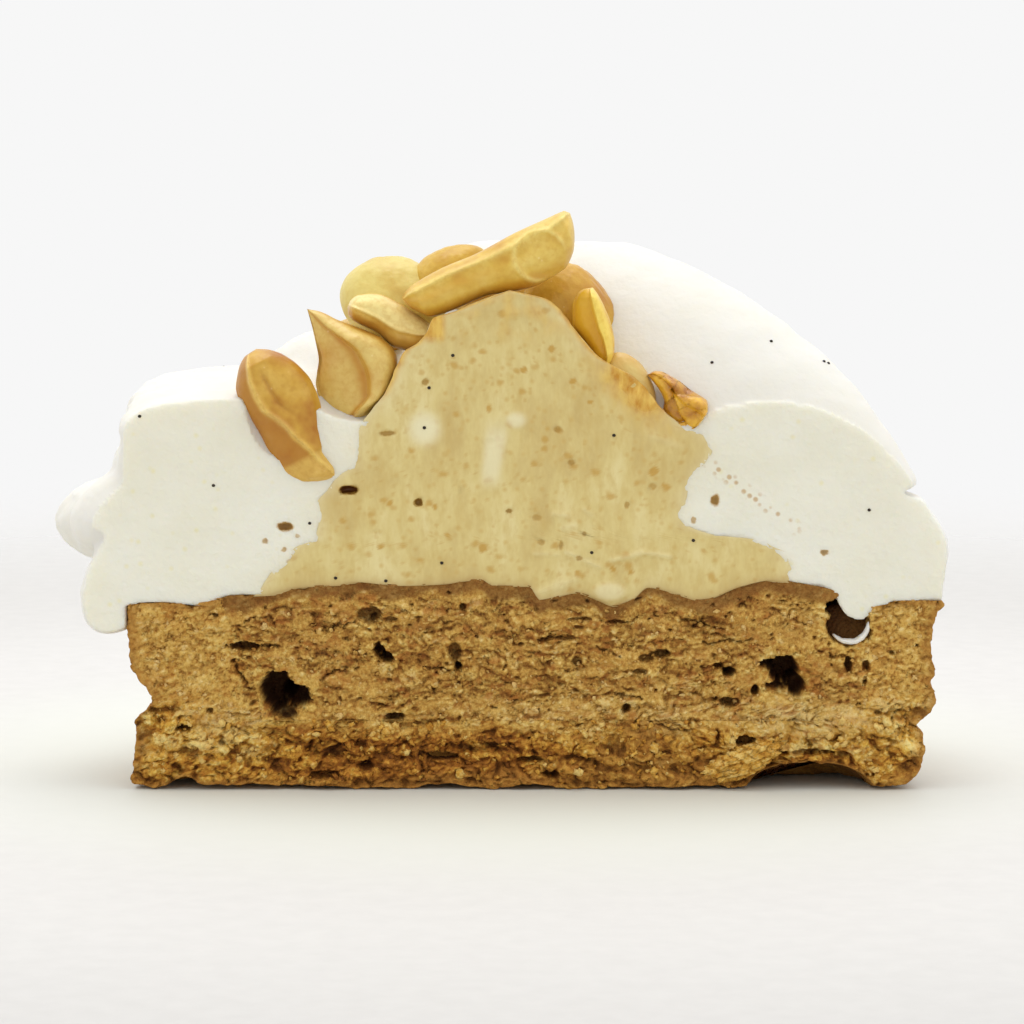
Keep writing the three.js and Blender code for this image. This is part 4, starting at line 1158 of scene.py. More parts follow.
def fold_top(c, t):
    """A pale edge along the top, a brown belly and a round end; the lower side is painted brown as shade."""
    ridge, end = np.exp(-((c - 0.66) / 0.13) ** 2), smooth(t, 0.6, 0.8)
    high = 0.30 * ridge - 0.22 * np.exp(-((c - 0.30) / 0.25) ** 2)
    brown = 0.35 * np.exp(-((c - 0.05) / 0.3) ** 2) * smooth(0.62 - t, 0, 0.2)
    brown = brown + 0.8 * smooth(-0.35 - c, 0, 0.5)
    return high, 0.75 * ridge + 0.30 * end, brown * (1 - 0.5 * end), 0 * c * t


def fold_small(c, t):
    """A pale back with a brown underside, painted as shade."""
    line = through([(0, 0.1), (0.4, -0.2), (0.7, 0.0), (1, 0.3)], t)
    ridge = np.exp(-((c - line) / 0.12) ** 2)
    pale, brown = 0.85 * smooth(c, line - 0.15, line + 0.1), 0.75 * smooth(line - 0.1 - c, 0, 0.5)
    return 0.3 * ridge, pale, brown, 0 * c * t


def fold_edge(c, t):
    """A brown flat side, and a bright rounded rim on its right."""
    ridge = smooth(c, 0.18, 0.34)
    high = 0.55 * ridge * np.sqrt(np.clip(1 - ((c - 0.62) / 0.42) ** 2, 0, 1)) - 0.5 * (1 - ridge)
    return high, 0.8 * ridge * smooth(0.97 - c, 0, 0.2), 0.7 * (1 - ridge), 1 - ridge


NUT_FOLDS = {"peanut_left": fold_left, "peanut_split": fold_split, "peanut_top": fold_top,
             "peanut_small": fold_small, "peanut_edge": fold_edge}
highest = [fold(np.linspace(-1, 1, 99), 0.5)[0].max() for fold in NUT_FOLDS.values()]
print("highest fold halfway along a nut:", max(highest).round(2), "mm")

# %% [markdown]
# A peanut at the cut is then a stack of rings across the line between its two tips. The half that
# faces us is pushed out or in by its fold, and the far half is left round.

# %% Peanuts at the cut
def outlined_rings(fold, low, top, middle_y, front, behind, rows=120, columns=144):
    """Rings across the line between two tips. Each ring spans the two outlines, and is a rounded
    section: front deep on our side, with the fold on it, and behind deep on the other."""
    low, top = np.array(low), np.array(top)
    start, axis = low[0], low[-1] - low[0]
    length = np.hypot(*axis)
    axis = axis / length
    normal = np.array([-axis[1], axis[0]])
    t = (1 - np.cos(between(0, math.pi, rows)))[:, None] / 2
    edge_a, edge_b = (through(np.stack([(side - start) @ axis, (side - start) @ normal], 1), t * length)
                      for side in (low, top))
    turn = full_turn(columns)
    c, s = np.cos(turn), np.sin(turn)
    half = np.abs(edge_b - edge_a) / 2
    full = np.minimum(1, half / (0.62 * half.max()))
    aside = (edge_a + edge_b) / 2 + (edge_b - edge_a) / 2 * c
    x, z = (start[i] + t * length * axis[i] + aside * normal[i] for i in (0, 1))
    high, pale, brown, flat = fold(c, t)
    facing = smooth(s, 0.0, 0.35)
    deep = np.where(s > 0, front, behind) * full * np.sign(s) * np.abs(s) ** 0.85
    skin = 0.10 * noise(x / 2.2, s * 1.5, z / 2.2) + 0.035 * noise(x / 0.7, s * 3, z / 0.7)
    y = middle_y - deep - (high * full + skin) * facing + skin * (1 - facing)
    ends = [np.array([tip[0], middle_y, tip[1]]) for tip in (start, low[-1])]
    # the brown of each fold goes into the groove mark, so there it is partly painted shade
    return np.stack([x, y, z], -1), ends, {
        "rim": pale * facing, "groove": np.clip(brown, 0, 1) * facing, "face": flat * facing,
        "tip": 0.6 * np.clip(1 - full, 0, 1) + 0 * c}


def end_dish(points, marks):
    """Presses a round, shallow dish with a pale ring into the broken end of the top peanut."""
    x, y, z = np.moveaxis(points, -1, 0)
    dish, front = np.hypot((x - 0.75) / 2.75, (z - 56.5) / 2.7), smooth(3.0 - y, 0, 1.2)
    ring = np.exp(-((dish - 1) / 0.10) ** 2) * front * smooth(4.5 - x - (57.5 - z) * 0.4, 0, 2)
    points[..., 1] -= 0.26 * ring - 0.22 * smooth(1 - dish, 0, 0.3) * front
    marks["rim"] = np.maximum(marks["rim"] * (1 - 0.5 * smooth(1 - dish, 0, 0.2)), 0.85 * ring)


for name, outline in NUT_OUTLINES.items():
    points, ends, marks = outlined_rings(NUT_FOLDS[name], *outline)
    if name == "peanut_top":
        end_dish(points, marks)
    peanuts[name] = put_stack(name + "_roasted", points, marks, ends)

# %% [markdown]
# ## The caramelised crumb
#
# A browned, glassy crumb leans against the cream on the right. It starts as a thin curl, bends
# over a small gap, and opens into a folded, torn lump. It is drawn through two outlines like the
# broken peanuts, with sharp facets instead of a soft fold.

# %% Caramel crumb
CARAMEL_OUTLINES = (
    [(12.0, 44.0), (12.7, 43.2), (13.3, 42.4), (13.8, 41.3), (13.7, 39.8), (14.7, 38.7),
     (16.4, 38.0), (17.3, 38.6), (18.4, 40.1)],
    [(12.0, 44.0), (12.9, 44.4), (13.9, 44.2), (15.3, 43.4), (16.6, 42.4), (18.2, 41.4),
     (18.4, 40.1)])
points, ends, marks = outlined_rings(fold_edge, *CARAMEL_OUTLINES, 0.9, 1.9, 2.6)
x, y, z = np.moveaxis(points, -1, 0)
facet, _, own = grains(x / 1.3 + 0.3 * z, z / 1.2 - 0.2 * x, 15)
front = smooth(0.9 - y, 0, 0.5) * smooth(x, 13, 14)
points[..., 1] += front * (0.9 * (own - 0.5) + 0.5 * facet**2)
burnt = smooth(15.4 - x, 0, 1.0) * smooth(41.0 - z, 0, 1.0) * smooth(noise(x / 0.8, 1.0, z / 0.8), -0.3, 0.3)
marks["dark"] = np.clip(burnt + 0.7 * smooth(own, 0.7, 0.8) * front, 0, 1)
caramel = put_stack("caramel_lump", points, marks, ends)


# %% [markdown]
# ## Small things at the cut
#
# A flake of the floor juts out beside the broken gap. Loose crumbs cling to the coarse floor, in
# front of the height field, which can't overhang. A smear of cream lies in the hole by the rim,
# and black vanilla seeds sit in both creams.

# %% Balls, broken lumps and strips
def ball_rings(rows, columns):
    """Unit directions of a ball as a stack of rings, and its two poles."""
    down, round_it = between(0, math.pi, rows)[:, None], full_turn(columns)
    rings = np.stack([np.sin(down) * np.cos(round_it), np.sin(down) * np.sin(round_it),
                      np.cos(down) + 0 * round_it], -1)
    return rings, np.array([[0, 0, 1.0], [0, 0, -1.0]])


def many_balls(rows, columns, count):
    """The points of one small ball, and the faces of count such balls in one mesh, each numbered
    after the one before."""
    rings, poles = ball_rings(rows, columns)
    quads, triangles = ring_faces(rows, columns)
    shift = (np.arange(count) * (rows * columns + 2))[:, None, None]
    return (np.concatenate([rings.reshape(-1, 3), poles]),
            (quads[None] + shift).reshape(-1, 4), (triangles[None] + shift).reshape(-1, 3))


def broken_lump(middle, radii, turn, rough, planes=14, seed=3, rows=90, columns=110):
    """A ball cut by flat planes: the radius in each direction is the nearest plane's distance
    over the cosine to it, softened, with noise on top. Returns rings and ends."""
    cuts = np.random.default_rng(seed).normal(size=(planes, 3))
    cuts /= np.linalg.norm(cuts, axis=1)[:, None]
    reach = np.random.default_rng(seed + 1).uniform(0.72, 1.0, planes)

    def placed(directions):
        cosine = np.maximum(directions @ cuts.T, 1e-3)
        radius = (((cosine / reach) ** 9).sum(-1) + 0.9) ** (-1 / 9)
        x, y, z = np.moveaxis(directions * 3.0, -1, 0)
        knobs = (noise(x + seed, y, z) + 0.5 * noise(2.6 * x, 2.6 * y + seed, 2.6 * z)
                 + 0.25 * noise(6 * x, 6 * y, 6 * z + seed))
        radius = (radius + rough * knobs)[..., None]
        return directions * radius * np.array(radii) @ turned(*turn).T + np.array(middle)

    rings, poles = ball_rings(rows, columns)
    return placed(rings), placed(poles)


def along_path(path, width, thick, rows=60, columns=28):
    """A flat oval section, width in y by thickness, carried along a smooth path through (x, y, z)
    points; it thins to nothing at both ends."""
    at = np.linspace(0, 1, len(path))
    t = between(0, 1, rows)
    centre = np.stack([through(np.stack([at, np.array(path)[:, i]], 1), t) for i in range(3)], -1)
    ahead = np.gradient(centre, axis=0)
    ahead /= np.linalg.norm(ahead, axis=1)[:, None]
    side = np.array([0.0, 1.0, 0.0]) - ahead * ahead[:, 1:2]
    side /= np.linalg.norm(side, axis=1)[:, None]
    normal = np.cross(ahead, side)
    turn = full_turn(columns)[..., None]
    ends_thin = (np.sin(math.pi * t) ** 0.35)[:, None, None]
    wide = width * (1 + 0.18 * noise(t * 5, 2.0, 3.0))[:, None, None]
    rings = centre[:, None] + ends_thin * (np.cos(turn) * side[:, None] * wide / 2
                                           + np.sin(turn) * normal[:, None] * thick / 2)
    rough = 0.06 * noise(rings[..., 0] * 2.2, rings[..., 1] * 2.2, rings[..., 2] * 2.2)
    return rings + normal[:, None] * rough[..., None], np.array(path, float)[[0, -1]]


print("a ball of 5 x 7 points has", len(many_balls(5, 7, 1)[0]), "points with its poles")

# %% [markdown]
# The flake is one broken lump with grains pressed into it. The crumbs are hundreds of tiny balls
# in one mesh, because hundreds of objects would be slow, and the formulas of the cut face say how
# deep and how dark each one lies, so none of them floats.

# %% Flake, loose crumbs and smear
points, ends = broken_lump((21.9, 0.5, 2.8), (5.0, 1.9, 1.75), (0, -22, 0), 0.2,
                           planes=20, seed=5, rows=110, columns=150)
points[..., 2] = np.maximum(points[..., 2], 0.05)
ends[:, 2] = np.maximum(ends[:, 2], 0.05)
near, gap, own = grains(points[..., 0] / 0.9 + points[..., 1] / 1.3, points[..., 2] / 0.7, 14)
points[..., 1] += 0.5 * near**2 - 0.2 + 0.25 * (own - 0.5)
# painted shade: tone and hollow darken the flake between its pressed grains
flake = put_stack("crust_flake", points, {
    "tone": np.clip(0.80 - 0.4 * near**2 + 0.3 * (0.5 - own), 0, 1), "toast": 0.25 * own,
    "hollow": smooth(0.15 - gap, 0, 0.15), "baked": 0.0, "deep": 0.0, "coarse": 1.0}, ends)


def many_crumbs(count, low_x, high_x, low_z, high_z, biggest, seed):
    """Tiny uneven balls of 5 x 7 points, scattered over a part of the cut face and half sunk in
    it: each ball is one row of the arrays, so all of them are worked out at once."""
    roll = np.random.default_rng(seed)
    x, z = roll.uniform(low_x, high_x, count), roll.uniform(low_z, high_z, count)
    depth, tone, _, _ = cut_face(x, z)
    keep = (depth < 1.6) & (z > bottom_height(x, 0.0) + 0.35)
    x, z, depth, tone = x[keep], z[keep], depth[keep], tone[keep]
    ball, quads, triangles = many_balls(5, 7, len(x))
    size = biggest * roll.uniform(0.35, 1.0, len(x)) ** 1.5
    stretch = roll.uniform(0.5, 1.4, (len(x), 1, 3)) * size[:, None, None]
    knobbly = 1 + 0.4 * roll.normal(size=(len(x), len(ball), 1)).clip(-1, 1)
    spin = roll.uniform(0, 2 * math.pi, len(x))[:, None]
    px, py, pz = np.moveaxis(ball[None] * knobbly * stretch, -1, 0)
    points = np.stack([px * np.cos(spin) - pz * np.sin(spin) + x[:, None],
                       py + (depth - 0.25 * size)[:, None],
                       np.maximum(px * np.sin(spin) + pz * np.cos(spin) + (z + 0.2)[:, None], 0.03)], -1)
    shade = np.clip(tone + 0.15 + roll.uniform(-0.2, 0.3, len(x)), 0, 1)
    return points.reshape(-1, 3), quads, triangles, np.repeat(shade, len(ball))


ONE_CRUMB = 5 * 7 + 2   # points of one ball with its poles
PLAIN = {"hollow": 0.0, "baked": 0.0, "deep": 0.0}
points, quads, triangles, shade = many_crumbs(620, -40, 39, 0.4, 7.2, 0.40, 21)
crumbs = put_mesh("loose_crumbs", points, quads, triangles, {
    "tone": shade, "toast": 0.3 * OWN[np.arange(len(shade)) // ONE_CRUMB % 256], "coarse": 1.0, **PLAIN})
points, quads, triangles, shade = many_crumbs(900, -41, 41, 7.2, 19.0, 0.26, 22)
fine_crumbs = put_mesh("fine_crumbs", points, quads, triangles, {
    "tone": shade, "toast": 0.2, "coarse": 0.0, **PLAIN})

points, ends = along_path([(31.7, 1.1, 16.5), (32.7, 0.6, 15.9), (33.8, 0.4, 15.8), (34.8, 0.4, 16.3),
                           (35.3, 0.5, 17.0), (35.5, 0.7, 17.9)], 1.6, 0.6, rows=40, columns=20)
smear = put_stack("cream_smear", points, {"cut": 0.0, "border": 0.0}, ends)

# %% [markdown]
# Vanilla seeds are the tiny black specks in both creams. Those that the photograph shows at the
# cut and just behind it are placed one by one, at the depth that the formulas of the two cuts
# give, and the hidden back gets some at random.

# %% Vanilla seeds
SEEDS_AT_CUT = [
    (-10.9, 42.7), (-8.4, 46.1), (-11.4, 38.5), (8.5, 37.7), (16.9, 26.6), (6.2, 25.3), (-9.6, 24.2),
    (35.4, 29.8), (-41.3, 39.7), (-33.6, 32.4), (-23.5, 28.4), (-20.8, 22.6), (-15.5, 22.3),
]
SEEDS_BEHIND = [(22.6, 43.2), (18.9, 45.2), (25.2, 47.8), (30.9, 45.8), (31.5, 45.4)]
SEEDS_AT_RANDOM = 60
SEED_RADII = np.array([0.19, 0.15, 0.17])


def seed_places():
    """The middle of each seed: at the cut, at random on the back, and on the nearest point of the
    cream behind each place that shows above the cut."""
    places = []
    for x, z in SEEDS_AT_CUT:
        in_dome = abs(x - DOME_X) < dome_radius(x, 0.0, z)
        face = whipped_face(x, z) + 0.06
        if in_dome:
            face = cream_face(np.array([x]), np.array([z]))[0][0] - 0.05
        places.append((x, float(face) - 0.04, z))
    x, y, z = cream_points.T
    outside = np.hypot(x - DOME_X, y) > dome_radius(x, y, z) + 3
    outer = cream_points[outside & (y > 3) & (z > 24)]
    back = outer[(outer[:, 1] > 20) & (outer[:, 2] < 46)]
    chosen = np.random.default_rng(31).choice(len(back), SEEDS_AT_RANDOM, replace=False)
    for x, z in SEEDS_BEHIND:
        off = (outer[:, 0] - x) ** 2 + (outer[:, 2] - z + 0.1 * outer[:, 1]) ** 2 + 0.02 * outer[:, 1]
        places.append(tuple(outer[np.argmin(off)]))
    return np.concatenate([np.array(places[:len(SEEDS_AT_CUT)]), back[chosen],
                           np.array(places[len(SEEDS_AT_CUT):])])


places = seed_places()
ball, quads, triangles = many_balls(5, 8, len(places))
points = (places[:, None] + ball * SEED_RADII).reshape(-1, 3)
seeds = put_mesh("vanilla_seeds", points, quads, triangles)

# %% [markdown]
# ## Finishes
#
# The shapes above carry marks, values from 0 to 1 at each point such as tone, toast or hollow.
# The materials turn these marks into colour, and add noise and grain that is finer than the
# meshes, in the object's own coordinates, so that no picture is needed. A few short helpers keep
# the node trees readable: each returns the output socket that the next one takes.

# %% Node helpers
def linear(red, green, blue):
    """A screen colour from 0 to 255 as the linear colour that Blender's nodes use."""
    value = np.array([red, green, blue]) / 255
    value = np.where(value <= 0.04045, value / 12.92, ((value + 0.055) / 1.055) ** 2.4)
    return (*value.tolist(), 1.0)


def colour_of(value):
    """A screen colour of three numbers made linear; a socket or a linear colour as it is."""
    return linear(*value) if isinstance(value, tuple) and len(value) == 3 else value


def node(tree, kind, inputs=None, **options):
    """A new node with its options and inputs; an input that is a socket is linked."""
    made = tree.nodes.new("ShaderNode" + kind)
    for option, value in options.items():
        setattr(made, option, value)
    for slot, value in (inputs or {}).items():
        if isinstance(value, bpy.types.NodeSocket):
            tree.links.new(value, made.inputs[slot])
        else:
            made.inputs[slot].default_value = value
    return made


def maths(tree, operation, *values, clamp=False):
    return node(tree, "Math", dict(enumerate(values)), operation=operation, use_clamp=clamp).outputs[0]


def vectors(tree, operation, *values):
    made = node(tree, "VectorMath", dict(enumerate(values)), operation=operation)
    return made.outputs["Value" if operation in ("LENGTH", "DOT_PRODUCT") else "Vector"]


def stretched(tree, value, low, high, at_low=0.0, at_high=1.0, **options):
    """The value moved so that low becomes at_low and high becomes at_high, and held past them."""
    return node(tree, "MapRange", {"Value": value, "From Min": low, "From Max": high,
                                   "To Min": at_low, "To Max": at_high}, **options).outputs[0]


def mark(tree, name):
    return node(tree, "Attribute", attribute_name=name).outputs["Fac"]


def sum_of(tree, a, factor, b=0.0):
    """a x factor + b, kept from 0 to 1; a is a socket or the name of a mark."""
    a = mark(tree, a) if isinstance(a, str) else a
    return maths(tree, "MULTIPLY_ADD", a, factor, b, clamp=True)


def mixed(tree, share, a, b, mode="MIX"):
    inputs = {0: share, 6: colour_of(a), 7: colour_of(b)}
    return node(tree, "Mix", inputs, data_type="RGBA", blend_type=mode).outputs[2]


def layered(tree, colour, *layers):
    """The colour with layers over it, each given as (mark or socket, factor, offset, colour): the
    layer's share is the mark x factor + offset."""
    for source, factor, offset, over in layers:
        colour = mixed(tree, sum_of(tree, source, factor, offset), colour, over)
    return colour


def ramp(tree, share, *stops):
    """Colours through (position, colour) stops."""
    made = node(tree, "ValToRGB", {"Fac": share})
    scale = made.color_ramp
    scale.elements[0].position, scale.elements[0].color = stops[0][0], colour_of(stops[0][1])
    scale.elements[1].position, scale.elements[1].color = stops[-1][0], colour_of(stops[-1][1])
    for position, colour in stops[1:-1]:
        scale.elements.new(position).color = colour_of(colour)
    return made.outputs["Color"]


print("screen grey 128 is", round(linear(128, 128, 128)[0], 3), "as a linear colour")

# %% [markdown]
# Every finish starts in the same way, with the object's own coordinates, and ends in the same
# way, with a colour, a roughness and a fine bump. The patterns' sizes are given in millimetres.

# %% Start and end of a finish
def new_finish(name, **constants):
    """A material with the given constants on its shader: the material, its node tree, the shader
    and the object's own coordinates."""
    finish = bpy.data.materials.new(name)
    finish.use_nodes = True
    tree = finish.node_tree
    shader = tree.nodes["Principled BSDF"]
    for slot, value in constants.items():
        shader.inputs[slot.replace("_", " ")].default_value = value
    return finish, tree, shader, node(tree, "TexCoord").outputs["Object"]


def noise_at(tree, place, size_mm, detail=2.0, rough=0.55, output="Fac"):
    return node(tree, "TexNoise", {"Vector": place, "Scale": 1000 / size_mm, "Detail": detail,
                                   "Roughness": rough}).outputs[output]


def cells_at(tree, place, size_mm):
    """Distance to the nearest scattered point, in cells of about the given size."""
    return node(tree, "TexVoronoi", {"Vector": place, "Scale": 1000 / size_mm}).outputs["Distance"]


def finished(finish, tree, shader, colour, rough, height, height_mm):
    """Links the colour, the roughness and a bump of the given height to the shader."""
    tree.links.new(colour, shader.inputs["Base Color"])
    if rough is not None:
        tree.links.new(rough, shader.inputs["Roughness"])
    bump = node(tree, "Bump", {"Height": height, "Distance": height_mm * MM, "Strength": 1.0})
    tree.links.new(bump.outputs["Normal"], shader.inputs["Normal"])
    return finish


print("a 0.42 mm grain has the noise scale", round(1000 / 0.42))

# %% [markdown]
# Pastry and sponge share one recipe with different colours. Pale to dark follows the grains,
# hollows get painted shade and crests a painted highlight, holes are painted dark as shade, and
# the baked outside is browner.

# %% Finish of pastry and sponge
def crumb_finish(name, fine_colours, coarse_colours, toast, baked, painted_shade):
    """The two palettes run from dark to pale: one for fine crumb, one for the coarse floor.
    The last colour is the shade painted into hollows and deep holes.
    """
    finish, tree, shader, place = new_finish(name, Specular_IOR_Level=0.3)
    fine, sandy = noise_at(tree, place, 0.42, 3, 0.7), noise_at(tree, place, 1.6, 2)
    tone = sum_of(tree, fine, 1.3, maths(tree, "SUBTRACT", mark(tree, "tone"), 0.65))
    colour = mixed(tree, mark(tree, "coarse"),
                   ramp(tree, tone, *zip((0.0, 0.28, 0.5, 0.72, 1.0), fine_colours)),
                   ramp(tree, tone, *zip((0.0, 0.25, 0.48, 0.72, 1.0), coarse_colours)))
    colour = layered(tree, colour, ("toast", 0.62, 0.0, toast))
    colour = layered(
        tree, colour, (sandy, 1.5, -0.45, mixed(tree, 0.35, colour, toast)),
        ("baked", 0.78, 0.0, mixed(tree, sum_of(tree, fine, 1.6, -0.4), baked[0], baked[1])))
    # painted shade: hollows of the crumb are darkened towards the shade colour
    colour = layered(tree, colour, ("hollow", 0.8, 0.0, mixed(tree, 0.66, colour, painted_shade)))
    # painted highlight on crests, and painted shade in the bottoms of deep holes
    crest_highlight = mixed(tree, 0.5, colour, (1.0, 1.0, 1.0, 1.0), "SOFT_LIGHT")
    colour = layered(tree, colour, ("hollow", -0.9, 0.0, crest_highlight), ("deep", 0.9, 0.0, painted_shade))
    height = maths(tree, "SUBTRACT", fine, cells_at(tree, place, 0.32))
    return finished(finish, tree, shader, colour, sum_of(tree, sandy, 0.35, 0.62), height, 0.15)


# the last colour of each is the painted shade of hollows and holes
PASTRY = crumb_finish(
    "shortcrust",
    [(118, 74, 24), (172, 122, 50), (210, 166, 80), (227, 188, 102), (242, 212, 142)],
    [(88, 46, 10), (150, 92, 26), (202, 144, 52), (229, 180, 76), (247, 216, 132)],
    (184, 118, 42), ((160, 106, 40), (192, 140, 62)), (70, 36, 12))
SPONGE = crumb_finish(
    "baked_sponge",
    [(110, 66, 20), (158, 110, 43), (196, 150, 69), (221, 180, 95), (242, 210, 136)],
    [(86, 45, 10), (146, 88, 24), (197, 138, 50), (226, 176, 76), (246, 213, 130)],
    (170, 104, 42), ((108, 66, 21), (142, 92, 35)), (56, 28, 9))
print("crumb finishes have", len(PASTRY.node_tree.nodes), "nodes each")

# %% [markdown]
# The bubbles in both creams are finer than their meshes, so besides the dishes in the shape they
# are drawn in the finish, as painted shade: each is a small ellipse round its place in the list,
# with a ragged edge, tan and darker brown in the deeper ones. A row of still smaller ones comes
# from a cell pattern, shown only near one line, and is painted tan as shade too.

# %% Bubbles in a finish
def bubble_share(tree, place, bubbles):
    """1 inside the cut's bubbles: the distance to each one's middle, in its own radii, is below
    about 1, and the nearest of them counts."""
    ragged = noise_at(tree, place, 0.5, output="Color", rough=0.5)
    place = vectors(tree, "MULTIPLY_ADD", ragged, (0.4 * MM,) * 3, place)
    share = 0.0
    for at_x, at_z, half_width, half_height, deep in bubbles:
        middle = ((at_x - SLICE_CENTRE[0] + 0.2) * MM, 0, (at_z + 0.2) * MM)
        off = vectors(tree, "SUBTRACT", place, middle)
        off = vectors(tree, "MULTIPLY", off, (1000 / half_width, 0, 1000 / half_height))
        here = stretched(tree, vectors(tree, "LENGTH", off), 1.15, 0.75, 0.0, min(1.0, 0.12 + 0.9 * deep))
        share = maths(tree, "MAXIMUM", share, here)
    return maths(tree, "MULTIPLY", share, mark(tree, "cut"))


def string_share(tree, place):
    """1 in the tiny bubbles along one line of the whipped cream's cut: near the line, between its
    ends, and within the round cells of a Voronoi pattern."""
    start, end = [np.array([at_x - SLICE_CENTRE[0], 0, at_z]) * MM for at_x, at_z in BUBBLE_STRING]
    long = float(np.linalg.norm(end - start))
    run = (end - start) / long
    off = vectors(tree, "SUBTRACT", place, tuple(start))
    along = vectors(tree, "DOT_PRODUCT", off, tuple(run))
    aside = maths(tree, "ABSOLUTE", vectors(tree, "DOT_PRODUCT", off, (-run[2], 0, run[0])))
    from_middle = maths(tree, "ABSOLUTE", maths(tree, "SUBTRACT", along, long / 2))
    share = stretched(tree, aside, 0.9 * MM, 0.2 * MM)
    for also in (stretched(tree, from_middle, long / 2, long / 2 - MM),
                 stretched(tree, cells_at(tree, place, 0.8), 0.42, 0.24, 0.0, 0.6), mark(tree, "cut")):
        share = maths(tree, "MULTIPLY", share, also)
    return share


drawn_bubbles = [bubble for bubble in CREAM_BUBBLES if bubble[4] >= 0.25]
print("bubbles drawn:", len(drawn_bubbles), "in the peanut cream and", len(WHIPPED_BUBBLES), "in the white")

# %% [markdown]
# Peanut cream is dense, so its colour sits on the surface: clouds smeared by the knife, flecks,
# pale patches and amber syrup, which is also wetter. Whipped cream is full of air and lets light
# in, so it alone scatters light below its surface, about a millimetre deep.

# %% Finish of the creams
def peanut_cream_finish():
    finish, tree, shader, place = new_finish("peanut_cream", Specular_IOR_Level=0.4)
    smeared = vectors(tree, "MULTIPLY", place, (1.0, 1.0, 0.45))
    cloud, fine = noise_at(tree, smeared, 4, 4, 0.65), noise_at(tree, smeared, 0.8, 3)
    colour = ramp(tree, cloud, (0.3, (204, 178, 112)), (0.5, (219, 199, 132)), (0.7, (228, 212, 152)))
    colour = layered(
        tree, colour,
        (fine, 2.2, -1.0, (206, 178, 106)), (cells_at(tree, place, 1.3), -2.6, 0.75, (206, 172, 96)),
        ("fleck", 0.85, 0.0, (194, 150, 62)), ("pale", 0.85, 0.0, (238, 230, 190)),
        # painted highlight: the shine layer lightens the folds' ridges, besides their lower roughness
        ("shine", 0.35, 0.0, (232, 220, 168)), ("border", 0.5, 0.0, (232, 220, 180)),
        # the syrup mark also carries painted contact shade along the dome's top edges under the peanuts
        ("syrup", 1.0, 0.0, ramp(tree, fine, (0.35, (200, 140, 38)), (0.65, (230, 190, 90)))),
        ("above_base", 0.5, 0.0, (178, 146, 92)))
    bubbles = bubble_share(tree, place, drawn_bubbles)
    # painted shade inside the open bubbles: tan, and dark brown in the deeper ones
    colour = layered(tree, colour, (bubbles, 1.6, 0.0, (188, 148, 66)), (bubbles, 1.6, -0.6, (92, 50, 8)))
    wet = maths(tree, "MAXIMUM", mark(tree, "shine"), mark(tree, "syrup"))
    rough = sum_of(tree, wet, -0.3, sum_of(tree, cloud, 0.2, 0.42))
    return finished(finish, tree, shader, colour, rough, fine, 0.05)


def whipped_cream_finish():
    finish, tree, shader, place = new_finish(
        "whipped_cream", Specular_IOR_Level=0.35, Subsurface_Weight=0.4,
        Subsurface_Radius=(1.0, 0.85, 0.6), Subsurface_Scale=0.002)
    cloud, fine = noise_at(tree, place, 9, 3), noise_at(tree, place, 0.7, 3)
    # painted shade: the petals' outside (first ramp) is a little greyer than the cut, to hold back the
    # stronger light from above
    colour = mixed(tree, mark(tree, "cut"),
                   ramp(tree, cloud, (0.3, (226, 223, 212)), (0.7, (229, 227, 220))),
                   ramp(tree, cloud, (0.3, (236, 233, 214)), (0.7, (240, 238, 224))))
    yolk = maths(tree, "MULTIPLY", sum_of(tree, cells_at(tree, place, 2.0), -6.0, 1.1), mark(tree, "cut"))
    bubbles = bubble_share(tree, place, WHIPPED_BUBBLES)
    colour = layered(
        tree, colour, (yolk, 0.6, 0.0, (234, 226, 172)), ("border", 0.5, 0.0, (240, 230, 198)),
        (bubbles, 1.5, 0.0, (200, 160, 84)), (bubbles, 1.5, -0.6, (112, 66, 12)),
        # painted shade inside the open bubbles and along the string of tiny ones
        (string_share(tree, place), 1.0, 0.0, (188, 140, 56)))
    pores = sum_of(tree, cells_at(tree, place, 0.9), 1.6)
    grain = maths(tree, "ADD", noise_at(tree, place, 0.35, 3), pores)
    grain = maths(tree, "MULTIPLY_ADD", grain, mark(tree, "cut"), fine)
    return finished(finish, tree, shader, colour, sum_of(tree, cloud, 0.2, 0.42), grain, 0.06)


PEANUT_CREAM, WHIPPED_CREAM = peanut_cream_finish(), whipped_cream_finish()
print("cream finishes:", PEANUT_CREAM.name, "and", WHIPPED_CREAM.name)

# %% [markdown]
# Roasted peanuts are oily, so they shine softly. The inner face and the domed side brown, and the
# worn line between them and the tips stay pale. On the nuts at the cut, painted shade browns
# valleys, creases and undersides, and pale specks are partly salt and partly painted glints of oil.
# Caramel is darker and glassier still.

# %% Finish of peanuts, caramel and seeds
def mixed_colour(a, b, share):
    """The colour between two linear colours."""
    return tuple(mix(np.array(a), np.array(b), share).tolist())


